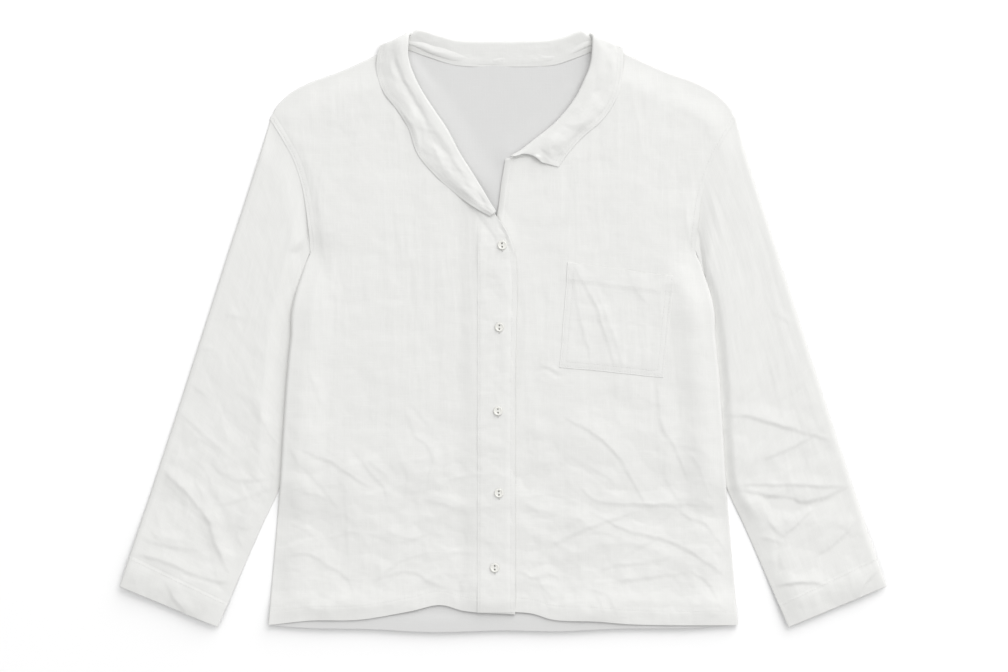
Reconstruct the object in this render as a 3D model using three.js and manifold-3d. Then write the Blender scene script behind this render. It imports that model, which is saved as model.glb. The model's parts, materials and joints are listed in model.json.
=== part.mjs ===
// A button-up shirt of crumpled white linen, laid on its back on a flat surface with its front up.
// Millimetres. +X is across the shirt, +Y runs from the hem to the collar, +Z is up from the surface.
// The wearer's right side is at -X and laps over the left. The origin is the middle of the underside's box.
import * as THREE from "three";
import Module from "manifold-3d";

// ---------------------------------------------------------------- driving sizes
const CLOTH = 1.4; // one layer of cloth
const SEAM_GAP = 0.6; // between two pieces that are sewn edge to edge
const STACK_GAP = 0.6; // between a piece and the piece that it lies on
const LOFT = 1.7; // how far the front stands off the back inside the seams
const LOFT_RUN = 16; // distance from a closed seam to the full loft
const HEM_TURN = 18; // depth of the turned hem of the body
const HEM_EXTRA = 0.9; // extra thickness of a turned hem
const BEVEL = 2.5; // run of the step at a hem's stitch line
const LEAST_AIR = 0.2; // between two layers that lie loose on each other
const OVER_BACK_HEM = [26, 44]; // the fronts settle off the back's turned hem between these heights
const OVER_LEFT_HEM = [44, 66]; // the lap settles off the left front's turned hem between these
const SHOULDER_TIP_Y = 561;
const ARMPIT_Y = 414;
const NECK_CORNER = { x: 126, y: 637.5 }; // where shoulder seam and neckline meet
const NECK_LAP = 2; // how far the collar's stand lies over the neckline
// Rows of the panels along the armhole, and points across the sleeve's two layers.
const ARMHOLE_STEPS = { front: 9, back: 6 };

// The sleeves lie with their inner folds under the body's sides, which lift over them.
const SLEEVE_EDGE_GAP = 1; // between the two layers at a sleeve's folded edges
const SLEEVE_LOFT = { rise: 1.3, flat: 11, run: 22 };
const TUCK = {
  lift: 2 * CLOTH + SLEEVE_EDGE_GAP + 0.7,
  flat: 15,
  run: 36,
  low: [112, 172],
  high: [350, 410],
};

// Placket: the right front laps the left front. The band is stitched along its inner edge.
const LAP = { edge: 13, stitch: -28, from: -50, raise: CLOTH + 0.9 };
const BAND = { wall: 1, low: 19, top: 444, inset: 0.4, stiffness: 0.7, settle: 16 };

const BUTTON = { radius: 5, thick: 1.7, holeFromMiddle: 1.9, bore: 0.9 };
const BUTTON_SPOTS = [
  { x: -1, y: 422 },
  { x: -4, y: 332 },
  { x: -5.5, y: 240 },
  { x: -4.5, y: 150 },
  { x: -9, y: 68 },
];
const CUFF_TURN = 30; // depth of the sleeve's turned hem

// Half width of the body: side seam up to the armpit, then the armhole up to the shoulder tip.
const OUTLINE = [
  { y: 5, half: 258 },
  { y: 60, half: 253.5 },
  { y: 150, half: 246 },
  { y: 225, half: 241.5 },
  { y: 308, half: 235 },
  { y: 362, half: 227 },
  { y: ARMPIT_Y, half: 212 },
  { y: 446, half: 213.5 },
  { y: 485, half: 219.5 },
  { y: 515, half: 229 },
  { y: 541, half: 243 },
  { y: SHOULDER_TIP_Y, half: 255.5 },
];

// Shoulder line from the tip to the corner of the neck.
const SHOULDER = [
  { x: 255.5, y: SHOULDER_TIP_Y },
  { x: 250, y: 573 },
  { x: 234, y: 589 },
  { x: 212, y: 601 },
  { x: 179, y: 613 },
  { x: 150, y: 626 },
  { x: NECK_CORNER.x, y: NECK_CORNER.y },
];

// Hems, from the wearer's right to left. The back hangs lower than the front in the middle.
const BACK_HEM = [
  { x: -258, y: 5 },
  { x: -212, y: 1.5 },
  { x: -150, y: 0.5 },
  { x: -75, y: -3 },
  { x: 0, y: -1 },
  { x: 60, y: -2 },
  { x: 130, y: 1 },
  { x: 205, y: 1.5 },
  { x: 258, y: 5 },
];
const RIGHT_HEM = [
  { x: -258, y: 5 },
  { x: -212, y: 10 },
  { x: -158, y: 11 },
  { x: -103, y: 20 },
  { x: -69, y: 27 },
  { x: -42, y: 20.5 },
  { x: LAP.edge, y: 17 },
];
const LEFT_HEM = [
  { x: 258, y: 5 },
  { x: 192, y: 5 },
  { x: 141, y: 6 },
  { x: 102, y: 9 },
  { x: 55, y: 11 },
  { x: 30, y: 18 },
  { x: -26, y: 20 },
];

// Free edges of the two fronts, from the hem up to where the neckline begins.
const RIGHT_EDGE = [
  { x: LAP.edge, y: 17 },
  { x: LAP.edge, y: 140 },
  { x: LAP.edge, y: 280 },
  { x: LAP.edge, y: 410 },
  { x: 4, y: 437 },
  { x: -9, y: 456 },
];
const LEFT_EDGE = [
  { x: -26, y: 20 },
  { x: -25, y: 180 },
  { x: -24, y: 320 },
  { x: -19, y: 400 },
  { x: -12, y: 435 },
  { x: -5.5, y: 460 },
  { x: -1.5, y: 490 },
  { x: 3, y: 517 },
];

// Collar: one folded band. Each row is a section across it. fold and edge are the fold line and the
// free edge of the fall in plan, seam is how far the neckline seam lies from the fold, low and high are
// the heights of the stand and of the fall at the fold. The first rows are on the wearer's right front.
const COLLAR_RIGHT = [
  { foldX: -8, foldY: 459, edgeX: -14, edgeY: 454, seam: 6, low: 8.7, high: 12 },
  { foldX: -18, foldY: 475, edgeX: -31, edgeY: 463.5, seam: 10, low: 8.3, high: 11.8 },
  { foldX: -30, foldY: 495, edgeX: -49, edgeY: 476.5, seam: 16, low: 7, high: 11 },
  { foldX: -47, foldY: 522, edgeX: -75, edgeY: 499.5, seam: 20, low: 5.4, high: 10.6 },
  { foldX: -62, foldY: 550, edgeX: -94, edgeY: 523, seam: 22, low: 5.4, high: 10.6 },
  { foldX: -75, foldY: 569, edgeX: -103.5, edgeY: 550, seam: 20, low: 5.4, high: 10.8 },
  { foldX: -86, foldY: 586, edgeX: -116, edgeY: 570.5, seam: 20, low: 5.6, high: 11.2 },
  { foldX: -97, foldY: 606, edgeX: -131.5, edgeY: 591, seam: 22, low: 6, high: 11.8 },
  { foldX: -104, foldY: 628, edgeX: -139, edgeY: 616, seam: 23, low: 6.8, high: 12.5 },
];
const COLLAR_LEFT = [
  { foldX: 96, foldY: 621, edgeX: 130.5, edgeY: 609, seam: 22, low: 6.8, high: 12.5 },
  { foldX: 89, foldY: 602, edgeX: 125, edgeY: 585, seam: 22, low: 6, high: 11.8 },
  { foldX: 77, foldY: 580, edgeX: 110, edgeY: 561, seam: 22, low: 5.6, high: 11.2 },
  { foldX: 58, foldY: 557, edgeX: 86, edgeY: 539.5, seam: 21, low: 5.4, high: 10.6 },
  { foldX: 35, foldY: 538, edgeX: 69, edgeY: 520, seam: 18, low: 5.4, high: 10 },
  { foldX: 12, foldY: 521, edgeX: 61, edgeY: 508, seam: 7, low: 6.1, high: 10 },
];
// The band lies front over back at each side of the neck: it turns there from on the front to under the back.
const TURN_RIGHT = { foldX: -104, foldY: 649, edgeX: -136, edgeY: 638, seam: 24 };
const TURN_LEFT = { foldX: 98.5, foldY: 648, edgeX: 131, edgeY: 637, seam: 21.5 };
const TURN_ANGLES = [0, 45, 90, 135];
const TURN = {
  standTop: 8.4,
  fallTop: 13,
  standLow: 3.1,
  fallLow: CLOTH / 2 + 0.3,
  drop: 6,
  seamDrop: 0.6,
  follow: 0.6,
};
// The fall: its least air over the stand at the fold, how far past the seam it lies over, the least run from
// there to its edge, how far the edge drops, and the run below which it doesn't drop.
const FALL = { air: 0.3, pastSeam: 1.5, leastRun: 2.5, drop: 1.5, short: 8 };
// The points that round the fall: their share of the run, and of the height lost on each side of the seam.
const BELLY = { run: 0.55, nearFold: 0.45, nearEdge: 0.6 };
const COLLAR_BACK = [
  { foldX: -92, foldY: 658, edgeX: -104, edgeY: 641, seam: 25.5 },
  { foldX: -70, foldY: 652, edgeX: -76, edgeY: 630, seam: 26 },
  { foldX: -49, foldY: 647, edgeX: -52, edgeY: 623, seam: 27.5 },
  { foldX: 0, foldY: 646, edgeX: 0, edgeY: 621, seam: 28 },
  { foldX: 51, foldY: 647, edgeX: 54, edgeY: 623, seam: 27.5 },
  { foldX: 70, foldY: 651.5, edgeX: 75, edgeY: 630, seam: 26 },
  { foldX: 86.5, foldY: 656.5, edgeX: 98.5, edgeY: 640, seam: 25 },
];

// How far round a point the cloth below is felt for its highest spot, for each piece that lies on it.
const REACH = { band: 3, pocket: 5, collar: 7 };

// Sleeves, from the armhole to the cuff: the folded outer and inner edges. Mirrored for the other side.
const SLEEVE = [
  { outerX: 255.5, outerY: SHOULDER_TIP_Y, innerX: 212, innerY: ARMPIT_Y },
  { outerX: 260, outerY: 546, innerX: 217.6, innerY: 400 },
  { outerX: 264, outerY: 533, innerX: 222.8, innerY: 384 },
  { outerX: 277, outerY: 492, innerX: 229.4, innerY: 355 },
  { outerX: 301, outerY: 418, innerX: 228, innerY: 300 },
  { outerX: 333, outerY: 318, innerX: 233, innerY: 225 },
  { outerX: 364, outerY: 222, innerX: 247, innerY: 166 },
  { outerX: 388, outerY: 149, innerX: 267, innerY: 112 },
  { outerX: 407, outerY: 91, innerX: 292, innerY: 52 },
  { outerX: 421, outerY: 48, innerX: 313, innerY: 3 },
];

// Breast pocket on the wearer's left front.
const POCKET = {
  wall: 1,
  mouth: 21,
  mouthExtra: 0.7,
  corners: { topIn: [71, 403], topOut: [187, 388], lowIn: [62, 288], lowOut: [176, 277] },
};

const FOLD_END = 0.35; // share of a fold's height that is left at its ends
// The largest folds: a curve from, by way of and to three points, its half width and its rise above the
// cloth round it, negative for a trough.
const BODY_FOLDS = [
  { from: [-214, 196], via: [-182, 183], to: [-148, 158], half: 9, rise: 2.6 },
  { from: [-224, 181], via: [-206, 158], to: [-182, 134], half: 8, rise: -1.4 },
  { from: [-204, 84], via: [-184, 70], to: [-160, 48], half: 9, rise: 2.2 },
  { from: [-134, 66], via: [-114, 80], to: [-88, 88], half: 9, rise: 2.2 },
  { from: [-100, 130], via: [-72, 134], to: [-46, 138], half: 9, rise: 2 },
  { from: [-108, 244], via: [-96, 220], to: [-78, 198], half: 9, rise: 1.5 },
  { from: [-94, 60], via: [-72, 44], to: [-44, 40], half: 8, rise: 1.6 },
  { from: [86, 230], via: [130, 200], to: [158, 142], half: 10, rise: 2.6 },
  { from: [176, 262], via: [184, 222], to: [204, 174], half: 10, rise: 2.4 },
  { from: [186, 168], via: [200, 140], to: [228, 118], half: 8, rise: 2 },
  { from: [44, 76], via: [84, 102], to: [146, 126], half: 10, rise: 2.6 },
  { from: [140, 116], via: [190, 104], to: [244, 66], half: 10, rise: 2.6 },
  { from: [112, 66], via: [150, 66], to: [192, 78], half: 9, rise: 1.8 },
  { from: [96, 50], via: [116, 36], to: [134, 10], half: 9, rise: 2 },
  { from: [26, 58], via: [42, 54], to: [62, 50], half: 9, rise: 2.2 },
  { from: [60, 150], via: [90, 144], to: [118, 144], half: 9, rise: 1.8 },
  { from: [200, 470], via: [206, 430], to: [214, 396], half: 10, rise: 1.4 },
  { from: [-196, 520], via: [-200, 470], to: [-196, 410], half: 11, rise: 1.4 },
];
const SLEEVE_FOLDS = [
  { from: [-374, 178], via: [-324, 128], to: [-298, 54], half: 10, rise: 2.8 },
  { from: [-318, 132], via: [-290, 136], to: [-256, 142], half: 9, rise: 2 },
  { from: [-312, 176], via: [-286, 162], to: [-258, 166], half: 9, rise: 1.8 },
  { from: [-410, 84], via: [-374, 78], to: [-316, 54], half: 8, rise: 2.2 },
  { from: [-346, 262], via: [-326, 246], to: [-304, 240], half: 10, rise: 1.6 },
  { from: [248, 240], via: [306, 228], to: [370, 204], half: 10, rise: 2.6 },
  { from: [258, 158], via: [322, 164], to: [384, 164], half: 9, rise: 2.4 },
  { from: [282, 140], via: [330, 130], to: [384, 152], half: 9, rise: 2 },
  { from: [298, 56], via: [320, 56], to: [350, 60], half: 8, rise: 1.8 },
  { from: [306, 92], via: [322, 110], to: [342, 124], half: 9, rise: 1.6 },
];

// ---------------------------------------------------------------- curves and heights
const clamp01 = (t) => Math.min(1, Math.max(0, t));
const mix = (a, b, t) => a + (b - a) * t;
const ease = (t) => {
  const c = clamp01(t);
  return c * c * (3 - 2 * c);
};
const between = (low, high, value) => ease((value - low) / (high - low));

// A smooth curve through a table's rows, over its share from 0 to 1 of the chord length.
function through(rows, xKey = "x", yKey = "y") {
  const points = rows.map((row) => new THREE.Vector3(row[xKey], row[yKey], 0));
  const spline = new THREE.CatmullRomCurve3(points, false, "centripetal");
  spline.arcLengthDivisions = 400;
  return (t) => spline.getPointAt(clamp01(t));
}

// The value of one column of a table at a value of another, by smooth steps through the rows.
function column(rows, key, value) {
  const slope = (i) => {
    const a = rows[Math.max(0, i - 1)];
    const b = rows[Math.min(rows.length - 1, i + 1)];
    return (b[value] - a[value]) / (b[key] - a[key]);
  };
  return (at) => {
    let i = 0;
    while (i < rows.length - 2 && at > rows[i + 1][key]) i += 1;
    const a = rows[i];
    const b = rows[i + 1];
    const span = b[key] - a[key];
    const t = clamp01((at - a[key]) / span);
    const t2 = t * t;
    const t3 = t2 * t;
    return (
      (2 * t3 - 3 * t2 + 1) * a[value] +
      (t3 - 2 * t2 + t) * span * slope(i) +
      (3 * t2 - 2 * t3) * b[value] +
      (t3 - t2) * span * slope(i + 1)
    );
  };
}

const halfWidth = column(OUTLINE, "y", "half");

// One curve made of several, each running up to its own share.
const chain = (parts) => (t) => {
  let start = 0;
  const part = parts.find(({ upTo }, i) => {
    start = i ? parts[i - 1].upTo : 0;
    return t <= upTo || i === parts.length - 1;
  });
  return part.curve((t - start) / (part.upTo - start));
};

// Shares from 0 to 1 in runs: each run has its end and its number of steps.
const steps = (runs) => {
  const shares = [0];
  for (const { upTo, count } of runs) {
    const start = shares[shares.length - 1];
    for (let k = 1; k <= count; k += 1) shares.push(mix(start, upTo, k / count));
  }
  return shares;
};

// The height that a table of folds adds at a point.
const foldShapes = (table) =>
  table.map(({ from, via, to, half, rise }) => {
    const curve = new THREE.QuadraticBezierCurve(
      new THREE.Vector2(...from),
      new THREE.Vector2(2 * via[0] - (from[0] + to[0]) / 2, 2 * via[1] - (from[1] + to[1]) / 2),
      new THREE.Vector2(...to),
    );
    return { points: curve.getPoints(10), half, rise };
  });
const foldHeight = (shapes) => (x, y) => {
  let height = 0;
  for (const { points, half, rise } of shapes) {
    let nearest = Infinity;
    let share = 0;
    points.forEach((p, i) => {
      const away = Math.hypot(p.x - x, p.y - y);
      if (away < nearest) {
        nearest = away;
        share = i / (points.length - 1);
      }
    });
    const ends = FOLD_END + (1 - FOLD_END) * Math.sin(Math.PI * share);
    height += rise * ends * Math.exp(-((nearest / half) ** 2));
  }
  return height;
};
const bodyFolds = foldHeight(foldShapes(BODY_FOLDS));
const sleeveFolds = foldHeight(foldShapes(SLEEVE_FOLDS));

// Height of the back's underside: flat on the surface, but for the sides that lie over the sleeves.
function backLift(x, y) {
  const inward = halfWidth(y) - Math.abs(x);
  const along = between(...TUCK.low, y) * (1 - between(...TUCK.high, y));
  return TUCK.lift * along * (1 - between(TUCK.flat, TUCK.flat + TUCK.run, inward));
}

// Distance to the nearest seam that holds front and back together: the side seams and the shoulders.
const shoulderPoints = SHOULDER.map(({ x, y }) => new THREE.Vector2(x, y));
function fromClosedSeam(x, y) {
  const side = Math.abs(x);
  const toSide = y < ARMPIT_Y ? halfWidth(y) - side : Math.hypot(side - halfWidth(ARMPIT_Y), y - ARMPIT_Y);
  let toShoulder = Infinity;
  for (let i = 1; i < shoulderPoints.length; i += 1) {
    const a = shoulderPoints[i - 1];
    const run = shoulderPoints[i].clone().sub(a);
    const t = clamp01(((side - a.x) * run.x + (y - a.y) * run.y) / run.lengthSq());
    toShoulder = Math.min(toShoulder, Math.hypot(side - a.x - run.x * t, y - a.y - run.y * t));
  }
  return Math.min(toSide, toShoulder);
}

// Height of the front's underside, the same for both fronts, above the surface.
function frontUnder(x, y) {
  const free = ease(fromClosedSeam(x, y) / LOFT_RUN);
  const overHem = HEM_EXTRA * (1 - between(...OVER_BACK_HEM, y));
  const onBand = between(LAP.from, LAP.stitch, x) - between(LAP.edge, LAP.edge + BAND.settle, x);
  const folds = Math.max(bodyFolds(x, y) * (1 - BAND.stiffness * onBand), LEAST_AIR - LOFT);
  return backLift(x, y) + CLOTH + overHem + STACK_GAP + free * (LOFT + folds);
}
// The right front is lifted over the left where it laps it, and a little more over the left's turned hem.
const lapRaise = (x, y) =>
  (LAP.raise + HEM_EXTRA * (1 - between(...OVER_LEFT_HEM, y))) * between(LAP.from, LAP.stitch + 2, x);
const rightUnder = (x, y) => frontUnder(x, y) + lapRaise(x, y);

// ---------------------------------------------------------------- solids
// A closed wall between two grids of points with the same rows and columns. A ring closes round its columns.
function wall(inner, outer, ring = false) {
  const rows = inner.length;
  const columns = inner[0].length;
  const points = [...inner.flat(), ...outer.flat()];
  const at = (layer, row, col) => layer * rows * columns + row * columns + (col % columns);
  const triangles = [];
  const quad = (a, b, c, d) => triangles.push(a, b, c, a, c, d);
  const lastColumn = ring ? columns : columns - 1;
  for (let i = 0; i < rows - 1; i += 1) {
    for (let j = 0; j < lastColumn; j += 1) {
      quad(at(1, i, j), at(1, i, j + 1), at(1, i + 1, j + 1), at(1, i + 1, j));
      quad(at(0, i, j), at(0, i + 1, j), at(0, i + 1, j + 1), at(0, i, j + 1));
    }
  }
  for (let j = 0; j < lastColumn; j += 1) {
    quad(at(0, 0, j), at(0, 0, j + 1), at(1, 0, j + 1), at(1, 0, j));
    quad(at(1, rows - 1, j), at(1, rows - 1, j + 1), at(0, rows - 1, j + 1), at(0, rows - 1, j));
  }
  if (!ring) {
    const end = columns - 1;
    for (let i = 0; i < rows - 1; i += 1) {
      quad(at(1, i, 0), at(1, i + 1, 0), at(0, i + 1, 0), at(0, i, 0));
      quad(at(0, i, end), at(0, i + 1, end), at(1, i + 1, end), at(1, i, end));
    }
  }
  let volume = 0;
  for (let k = 0; k < triangles.length; k += 3) {
    const [a, b, c] = [points[triangles[k]], points[triangles[k + 1]], points[triangles[k + 2]]];
    volume += a.dot(new THREE.Vector3().crossVectors(b, c));
  }
  if (volume < 0) triangles.reverse();
  const geometry = new THREE.BufferGeometry().setFromPoints(points);
  geometry.setIndex(triangles);
  geometry.computeVertexNormals();
  return geometry;
}

// A panel in plan: a patch between its side, its other side, its hem and its top.
function panelPoints(side, otherSide, hem, top, columnShares, rowShares) {
  const corner = { a: side(0), b: otherSide(0), c: side(1), d: otherSide(1) };
  return rowShares.map((v) =>
    columnShares.map((u) => {
      const [s, o, h, t] = [side(v), otherSide(v), hem(u), top(u)];
      const mixed = (key) =>
        mix(s[key], o[key], u) +
        mix(h[key], t[key], v) -
        mix(mix(corner.a[key], corner.b[key], u), mix(corner.c[key], corner.d[key], u), v);
      return new THREE.Vector3(mixed("x"), mixed("y"), 0);
    }),
  );
}

// Lays a plan of points at a height, with a thickness above it.
function layered(plan, under, thickness) {
  const low = plan.map((row) => row.map((p) => new THREE.Vector3(p.x, p.y, under(p.x, p.y))));
  const high = low.map((row, i) =>
    row.map((p, j) => new THREE.Vector3(p.x, p.y, p.z + thickness(i, j))),
  );
  return { low, high };
}

// The height of a panel's faceted top at a point, or the highest within reach of it.
function topOf(panel) {
  const { high } = panel;
  const inTriangle = (a, b, c, x, y) => {
    const d = (b.x - a.x) * (c.y - a.y) - (c.x - a.x) * (b.y - a.y);
    const s = ((x - a.x) * (c.y - a.y) - (c.x - a.x) * (y - a.y)) / d;
    const t = ((b.x - a.x) * (y - a.y) - (x - a.x) * (b.y - a.y)) / d;
    return s >= -1e-6 && t >= -1e-6 && s + t <= 1 + 1e-6 ? a.z + s * (b.z - a.z) + t * (c.z - a.z) : null;
  };
  const heightAt = (x, y) => {
    let best = -Infinity;
    for (let i = 1; i < high.length; i += 1) {
      for (let j = 1; j < high[0].length; j += 1) {
        const [a, b, c, d] = [high[i - 1][j - 1], high[i - 1][j], high[i][j], high[i][j - 1]];
        if (Math.min(a.x, b.x, c.x, d.x) > x || Math.max(a.x, b.x, c.x, d.x) < x) continue;
        const found = inTriangle(a, b, c, x, y) ?? inTriangle(a, c, d, x, y);
        if (found !== null) best = Math.max(best, found);
      }
    }
    return best;
  };
  return (x, y, reach = 0) => {
    let best = heightAt(x, y);
    for (let k = 0; k < 8 && reach > 0; k += 1) {
      const angle = (k * Math.PI) / 4;
      best = Math.max(best, heightAt(x + reach * Math.cos(angle), y + reach * Math.sin(angle)));
    }
    return best;
  };
}

// ---------------------------------------------------------------- collar sections
// The frame of a section: the fold, the way across to the edge, and the way out of the neck at a turn.
function sectionFrame(row) {
  const fold = new THREE.Vector2(row.foldX, row.foldY);
  const across = new THREE.Vector2(row.edgeX, row.edgeY).sub(fold);
  const length = across.length();
  across.divideScalar(length);
  const side = Math.sign(row.foldX) || 1;
  const out = new THREE.Vector2(-side * across.y, side * across.x);
  return { fold, across, out, length };
}
// Where the neckline seam of a section lies in plan, moved further from the fold by a gap.
const seamPoint = (row, gap = 0) => {
  const { fold, across } = sectionFrame(row);
  return fold.clone().addScaledVector(across, row.seam + gap);
};

const turnRows = (row) =>
  TURN_ANGLES.map((degrees) => {
    const angle = THREE.MathUtils.degToRad(degrees);
    const arc = (top, low) => ({
      out: ((top - low) / 2) * Math.sin(angle),
      z: (top + low) / 2 + ((top - low) / 2) * Math.cos(angle),
    });
    const back = TURN.follow * between(0, 180, degrees);
    const next = row.foldX < 0 ? COLLAR_BACK[0] : COLLAR_BACK[COLLAR_BACK.length - 1];
    const stand = arc(TURN.standTop, TURN.standLow);
    const fall = arc(TURN.fallTop, TURN.fallLow);
    const ahead = 1 - degrees / 180;
    return {
      ...row,
      foldX: mix(row.foldX, next.foldX, back),
      foldY: mix(row.foldY, next.foldY, back),
      edgeX: mix(row.edgeX, next.edgeX, back),
      stand,
      fall,
      seamOut: stand.out,
      seamZ: stand.z - TURN.seamDrop * ahead,
      overZ: fall.z - 0.5 * TURN.drop * ahead,
      edgeZ: Math.max(TURN.fallLow, fall.z - TURN.drop * ahead),
    };
  });

const neckline = (rows) => rows.map((row) => seamPoint(row, -NECK_LAP));
const cornerOf = (side) => new THREE.Vector2(side * NECK_CORNER.x, NECK_CORNER.y);

// ---------------------------------------------------------------- body panels
const outlineOf = (side) => through(OUTLINE.map(({ y, half }) => ({ x: side * half, y })));
const shoulderOf = (side) => through(SHOULDER.map(({ x, y }) => ({ x: side * x, y })));
const reversed = (curve) => (t) => curve(1 - t);

// The share of the side's outline at a height.
const sideOutline = outlineOf(1);
function shareAt(y) {
  let [low, high] = [0, 1];
  for (let k = 0; k < 40; k += 1) {
    const middle = (low + high) / 2;
    if (sideOutline(middle).y < y) low = middle;
    else high = middle;
  }
  return high;
}
const HEM_SHARE = shareAt(OUTLINE[0].y + HEM_TURN);
const BEVEL_SHARE = shareAt(OUTLINE[0].y + HEM_TURN + BEVEL);
const ARMPIT_SHARE = shareAt(ARMPIT_Y);
const hemThickness = (rowShares) => (row) => CLOTH + (rowShares[row] <= HEM_SHARE + 1e-9 ? HEM_EXTRA : 0);

// Columns are given by their distances from the side, so that front and back bend alike over the sleeves.
const BACK_WIDTH = 516;
const SIDE_COLUMNS = [6, 15, 26, 38, 52, 70].map((distance) => distance / BACK_WIDTH);
const SHOULDER_SHARE = 0.27; // of the back's top edge, for each shoulder line

function makeBack() {
  const rowShares = steps([
    { upTo: HEM_SHARE, count: 1 },
    { upTo: BEVEL_SHARE, count: 1 },
    { upTo: shareAt(TUCK.low[0]), count: 2 },
    { upTo: shareAt(TUCK.low[1]), count: 4 },
    { upTo: shareAt(TUCK.high[0]), count: 4 },
    { upTo: ARMPIT_SHARE, count: 4 },
    { upTo: 1, count: ARMHOLE_STEPS.back },
  ]);
  const top = chain([
    { curve: shoulderOf(-1), upTo: SHOULDER_SHARE },
    { curve: through([cornerOf(-1), ...neckline(COLLAR_BACK), cornerOf(1)]), upTo: 1 - SHOULDER_SHARE },
    { curve: reversed(shoulderOf(1)), upTo: 1 },
  ]);
  const near = [0, ...SIDE_COLUMNS];
  const outer = near.slice(0, -1);
  const start = near[near.length - 1];
  const middle = steps([
    { upTo: (SHOULDER_SHARE - start) / (1 - 2 * start), count: 3 },
    { upTo: (1 - SHOULDER_SHARE - start) / (1 - 2 * start), count: 10 },
    { upTo: 1, count: 3 },
  ]).map((share) => start + share * (1 - 2 * start));
  const columnShares = [...outer, ...middle, ...outer.reverse().map((share) => 1 - share)];
  const plan = panelPoints(outlineOf(-1), outlineOf(1), through(BACK_HEM), top, columnShares, rowShares);
  return layered(plan, backLift, hemThickness(rowShares));
}

// A front: side and armhole, hem, free edge and neckline, shoulder. edgeRows is how many of the rows above
// the armpit belong to the free edge.
const FRONT_WIDTH = 271;
const FRONT_COLUMNS = [
  0, 6, 15, 26, 38, 52, 68, 84, 100, 116, 132, 148, 164, 180, 194, 208, 220, 232, 245, 258, FRONT_WIDTH,
];
function makeFront(side, hemTable, edgeTable, collarRows, edgeRows, under) {
  const rowShares = steps([
    { upTo: HEM_SHARE, count: 1 },
    { upTo: BEVEL_SHARE, count: 1 },
    { upTo: ARMPIT_SHARE, count: 24 },
    { upTo: 1, count: ARMHOLE_STEPS.front },
  ]);
  const edgeShare = mix(ARMPIT_SHARE, 1, edgeRows / ARMHOLE_STEPS.front);
  const corner = edgeTable[edgeTable.length - 1];
  const neck = through([corner, ...neckline(collarRows.slice(1)), cornerOf(side)]);
  const inner = chain([
    { curve: through(edgeTable), upTo: edgeShare },
    { curve: neck, upTo: 1 },
  ]);
  const columnShares = FRONT_COLUMNS.map((distance) => distance / FRONT_WIDTH);
  const [outer, shoulder] = [outlineOf(side), shoulderOf(side)];
  const plan = panelPoints(outer, inner, through(hemTable), shoulder, columnShares, rowShares);
  return layered(plan, under, hemThickness(rowShares));
}

// ---------------------------------------------------------------- pieces on the fronts
// The buttonhole band: a strip along the right front's free edge.
function makeBand(topAt) {
  const rowShares = steps([{ upTo: 1, count: 27 }]);
  const columnShares = steps([{ upTo: 1, count: 3 }]);
  const edgeAt = column(RIGHT_EDGE, "y", "x");
  const plan = rowShares.map((v) =>
    columnShares.map((u) => {
      const y = mix(BAND.low, BAND.top, v);
      return new THREE.Vector3(mix(LAP.stitch, edgeAt(y) - BAND.inset, u), y, 0);
    }),
  );
  return layered(plan, (x, y) => topAt(x, y, REACH.band) + STACK_GAP, () => BAND.wall);
}

function makePocket(topAt) {
  const { topIn, topOut, lowIn, lowOut } = POCKET.corners;
  const height = Math.hypot(topIn[0] - lowIn[0], topIn[1] - lowIn[1]);
  const mouth = 1 - POCKET.mouth / height;
  const rowShares = steps([
    { upTo: mouth - BEVEL / height, count: 7 },
    { upTo: mouth, count: 1 },
    { upTo: 1, count: 2 },
  ]);
  const columnShares = steps([{ upTo: 1, count: 8 }]);
  const plan = rowShares.map((v) =>
    columnShares.map((u) => {
      const at = (k) => mix(mix(lowIn[k], lowOut[k], u), mix(topIn[k], topOut[k], u), v);
      return new THREE.Vector3(at(0), at(1), 0);
    }),
  );
  const thickness = (row) => POCKET.wall + (rowShares[row] >= mouth - 1e-9 ? POCKET.mouthExtra : 0);
  return layered(plan, (x, y) => topAt(x, y, REACH.pocket) + STACK_GAP, thickness);
}

// A round button with a sunk face and two holes for its thread.
function makeButton(wasm) {
  const { radius, thick, holeFromMiddle, bore } = BUTTON;
  const profile = [
    [0, 0],
    [radius * 0.76, 0],
    [radius, thick * 0.5],
    [radius * 0.9, thick],
    [radius * 0.68, thick],
    [radius * 0.52, thick * 0.74],
    [0, thick * 0.74],
  ].map(([r, z]) => new THREE.Vector2(r, z));
  const solidOf = (geometry) => {
    const index = geometry.index.array;
    const keys = new Map();
    const vertices = [];
    const position = geometry.attributes.position;
    const merged = Array.from(index, (i) => {
      const p = [position.getX(i), position.getY(i), position.getZ(i)];
      const key = p.map((value) => Math.round(value * 1e4)).join();
      if (!keys.has(key)) {
        keys.set(key, vertices.length / 3);
        vertices.push(...p);
      }
      return keys.get(key);
    });
    const triVerts = [];
    for (let k = 0; k < merged.length; k += 3) {
      const [a, b, c] = merged.slice(k, k + 3);
      if (a !== b && b !== c && a !== c) triVerts.push(a, b, c);
    }
    const mesh = new wasm.Mesh({
      numProp: 3,
      vertProperties: new Float32Array(vertices),
      triVerts: new Uint32Array(triVerts),
    });
    return new wasm.Manifold(mesh);
  };
  const disc = new THREE.LatheGeometry(profile, 16);
  disc.rotateX(Math.PI / 2);
  let solid = solidOf(disc);
  for (const side of [-1, 1]) {
    const drill = new THREE.CylinderGeometry(bore, bore, 4 * thick, 8);
    drill.rotateX(Math.PI / 2).translate(0, side * holeFromMiddle, 0);
    solid = solid.subtract(solidOf(drill));
  }
  const made = solid.getMesh();
  const geometry = new THREE.BufferGeometry();
  geometry.setAttribute("position", new THREE.BufferAttribute(new Float32Array(made.vertProperties), 3));
  geometry.setIndex(new THREE.BufferAttribute(new Uint32Array(made.triVerts), 1));
  geometry.computeVertexNormals();
  return geometry;
}

// ---------------------------------------------------------------- sleeves
const SLEEVE_LENGTH = 555;
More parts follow.
